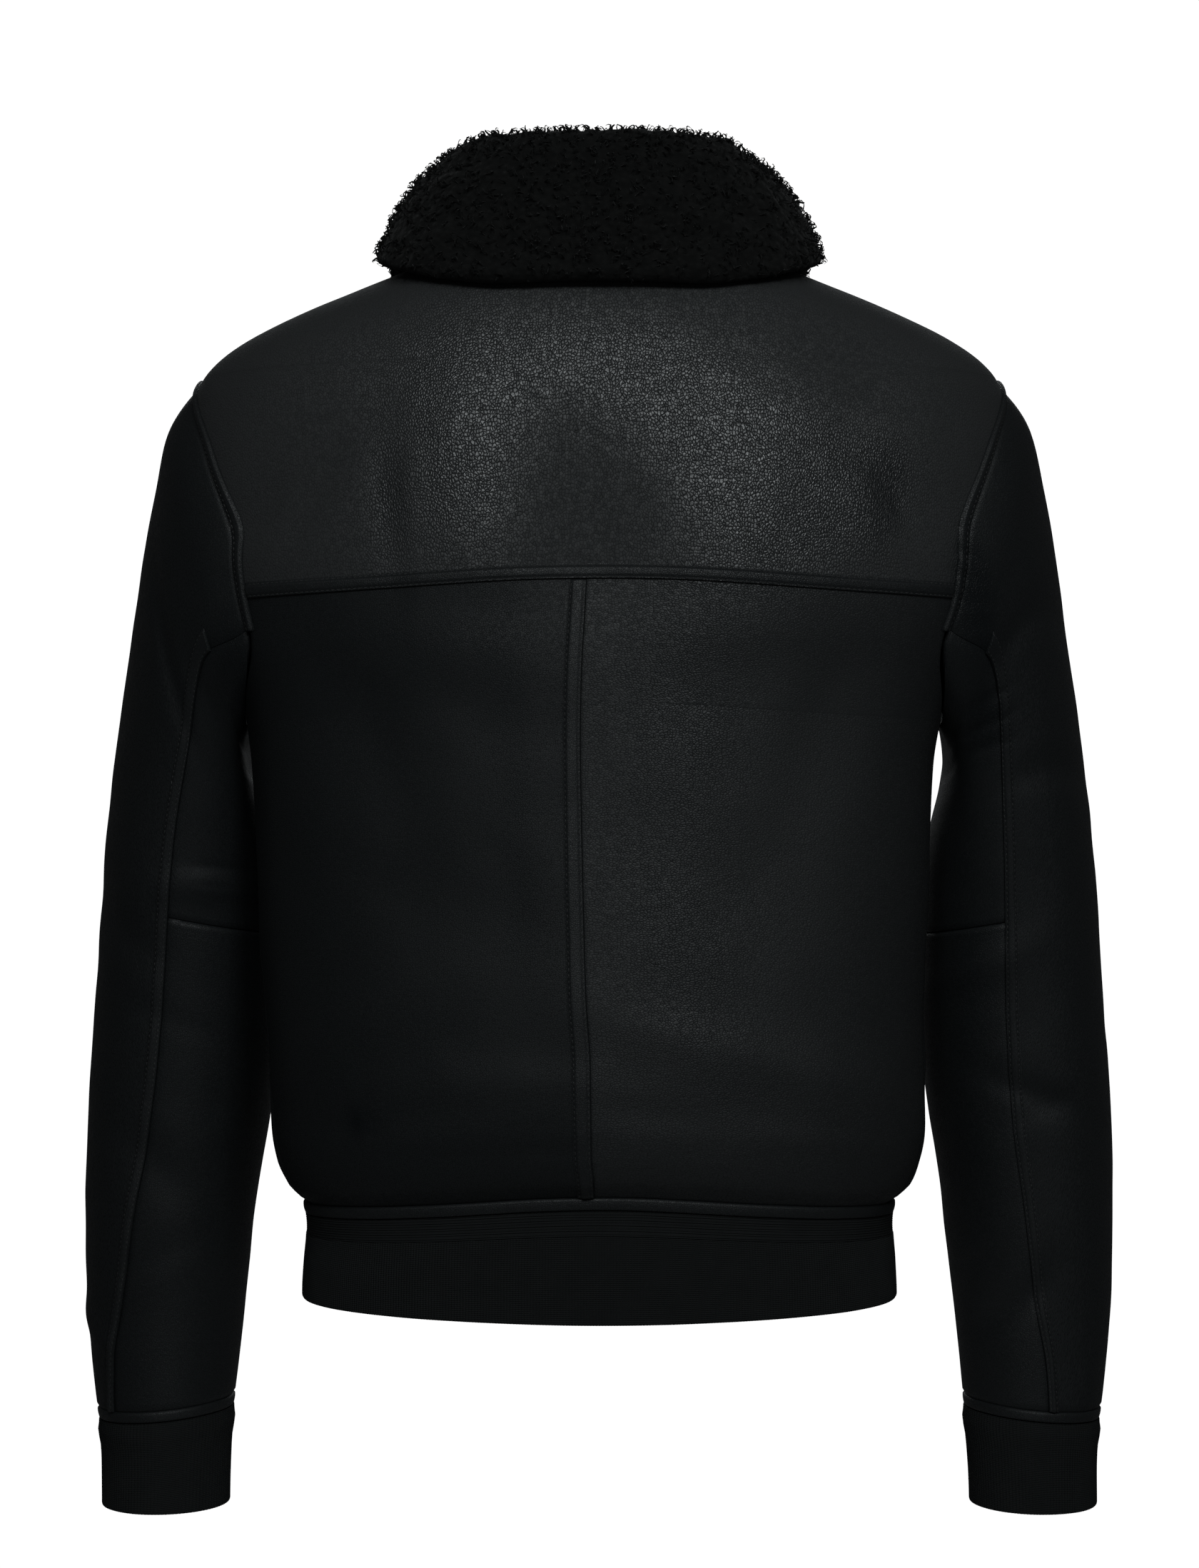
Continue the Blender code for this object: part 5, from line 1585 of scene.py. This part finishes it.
def make_backdrop(sizes):
    """The white surroundings, which only the camera sees at full strength."""
    world = bpy.data.worlds.new("white_studio")
    bpy.context.scene.world = world
    world.use_nodes = True
    tree = world.node_tree
    tree.nodes.clear()
    seen = node(tree, "ShaderNodeLightPath").outputs["Is Camera Ray"]
    shaders = {0: seen}
    pairs = ((SURROUND_COLOUR, sizes.surround), (PAPER_COLOUR, PAPER_STRENGTH))
    for place, (colour, strength) in enumerate(pairs, 1):
        inputs = {"Color": colour, "Strength": strength}
        shaders[place] = node(tree, "ShaderNodeBackground", inputs).outputs[0]
    mixed = node(tree, "ShaderNodeMixShader", shaders).outputs[0]
    out = node(tree, "ShaderNodeOutputWorld")
    feed(out.inputs["Surface"], mixed)


def make_floor():
    """A pale round floor under the jacket, which fades into the white at its rim."""
    made, tree, shader = new_material("pale_floor", 0.7)
    place = node(tree, "ShaderNodeTexCoord").outputs["Object"]
    far = node(tree, "ShaderNodeVectorMath", {0: place}, operation="LENGTH").outputs["Value"]
    rim = fade(tree, far, FLOOR_FADES_FROM, FLOOR_RADIUS)
    grain = noise(tree, place, 30.0, 4.0).outputs["Fac"]
    coloured(tree, shader, grain, FLOOR_DARK, FLOOR_LIGHT)
    clear = node(tree, "ShaderNodeBsdfTransparent").outputs[0]
    mixed = node(tree, "ShaderNodeMixShader", {0: rim, 1: shader.outputs[0], 2: clear}).outputs[0]
    feed(tree.nodes["Material Output"].inputs["Surface"], mixed)
    turn = np.linspace(0, 2 * np.pi, FLOOR_SIDES, endpoint=False)
    x, y = FLOOR_RADIUS * np.cos(turn), FLOOR_RADIUS * np.sin(turn)
    rings = [np.stack([x, y, 0 * turn + z], axis=-1) for z in (FLOOR_Z - FLOOR_THICK, FLOOR_Z)]
    quads, ends = tube_faces(2, FLOOR_SIDES)
    floor = make_mesh("floor", np.concatenate(rings), [quads, ends], [made])


def make_camera():
    camera = bpy.data.objects.new("camera", bpy.data.cameras.new("camera"))
    camera.data.lens = CAMERA_LENS
    camera.data.sensor_width = SENSOR
    camera.data.clip_end = 50.0
    camera.location = CAMERA_PLACE
    camera.rotation_euler = (math.pi / 2, 0.0, math.pi)
    bpy.context.scene.collection.objects.link(camera)
    bpy.context.scene.camera = camera
    bpy.context.scene.view_settings.view_transform = "Standard"


class JacketSizes(bpy.types.PropertyGroup):
    """Sizes and looks of the jacket that a user would change."""

    back_pitch: bpy.props.FloatProperty(
        name="Back Pitch", description="Step of the grid on the back",
        default=0.0025, min=0.001, max=0.01, unit="LENGTH", precision=4,
    )
    front_pitch: bpy.props.FloatProperty(
        name="Front Pitch", description="Step of the grid on the fronts",
        default=0.0032, min=0.001, max=0.01, unit="LENGTH", precision=4,
    )
    sleeve_pitch: bpy.props.FloatProperty(
        name="Sleeve Pitch", description="Step of the grid down the sleeves",
        default=0.0027, min=0.001, max=0.01, unit="LENGTH", precision=4,
    )
    curls: bpy.props.IntProperty(
        name="Curls", description="Number of locks on the collar", default=7200, min=0, max=7600,
    )
    light: bpy.props.FloatProperty(
        name="Light", description="Strength of all the softboxes together", default=1.0, min=0.0,
    )
    surround: bpy.props.FloatProperty(
        name="Surround", description="Strength of the light from all round", default=0.05, min=0.0,
    )


def sizes_of(context):
    return context.scene.jacket_sizes


class MakeStage(bpy.types.Operator):
    """Makes the camera, the lights, the floor and the white surroundings"""

    bl_idname = "jacket.make_stage"
    bl_label = "Stage"

    def execute(self, context):
        make_camera()
        make_lights(sizes_of(context))
        make_backdrop(sizes_of(context))
        make_floor()
        return {"FINISHED"}


class MakeBack(bpy.types.Operator):
    """Makes the yoke and the two lower panels of the back"""

    bl_idname = "jacket.make_back"
    bl_label = "Back"

    def execute(self, context):
        make_back(sizes_of(context))
        return {"FINISHED"}


class MakeFronts(bpy.types.Operator):
    """Makes the two fronts"""

    bl_idname = "jacket.make_fronts"
    bl_label = "Fronts"

    def execute(self, context):
        make_fronts(sizes_of(context))
        return {"FINISHED"}


class MakeSleeves(bpy.types.Operator):
    """Makes the upper and under sleeves"""

    bl_idname = "jacket.make_sleeves"
    bl_label = "Sleeves"

    def execute(self, context):
        make_sleeves(sizes_of(context))
        return {"FINISHED"}


class MakeSeams(bpy.types.Operator):
    """Makes the taped seams, the leather welts and all the stitches"""

    bl_idname = "jacket.make_seams"
    bl_label = "Seams"

    def execute(self, context):
        make_strips()
        make_welts()
        return {"FINISHED"}


class MakeKnit(bpy.types.Operator):
    """Makes the knitted hem and cuffs"""

    bl_idname = "jacket.make_knit"
    bl_label = "Knit"

    def execute(self, context):
        make_hem()
        make_cuffs()
        return {"FINISHED"}


class MakeCollar(bpy.types.Operator):
    """Makes the folded collar and its curls"""

    bl_idname = "jacket.make_collar"
    bl_label = "Collar"

    def execute(self, context):
        make_collar(sizes_of(context))
        return {"FINISHED"}


class MakeZip(bpy.types.Operator):
    """Makes the zip's tapes, teeth, slider and pull"""

    bl_idname = "jacket.make_zip"
    bl_label = "Zip"

    def execute(self, context):
        make_tapes()
        make_teeth()
        make_slider()
        return {"FINISHED"}


OPERATORS = (MakeStage, MakeBack, MakeFronts, MakeSleeves, MakeSeams, MakeKnit, MakeCollar, MakeZip)


class JacketPanel(bpy.types.Panel):
    """Lists the jacket's sizes and the buttons that make its pieces"""

    bl_idname = "VIEW3D_PT_jacket"
    bl_label = "Shearling Jacket"
    bl_space_type = "VIEW_3D"
    bl_region_type = "UI"
    bl_category = "Jacket"

    def draw(self, context):
        for name in JacketSizes.__annotations__:
            self.layout.prop(sizes_of(context), name)
        for operator in OPERATORS:
            self.layout.operator(operator.bl_idname)


CLASSES = (JacketSizes, *OPERATORS, JacketPanel)


def register():
    for part in CLASSES:
        bpy.utils.register_class(part)
    bpy.types.Scene.jacket_sizes = bpy.props.PointerProperty(type=JacketSizes)


def unregister():
    del bpy.types.Scene.jacket_sizes
    for part in reversed(CLASSES):
        bpy.utils.unregister_class(part)


def main():
    register()
    bpy.ops.jacket.make_stage()
    bpy.ops.jacket.make_back()
    bpy.ops.jacket.make_fronts()
    bpy.ops.jacket.make_sleeves()
    bpy.ops.jacket.make_seams()
    bpy.ops.jacket.make_knit()
    bpy.ops.jacket.make_collar()
    bpy.ops.jacket.make_zip()


if __name__ == "__main__":
    main()
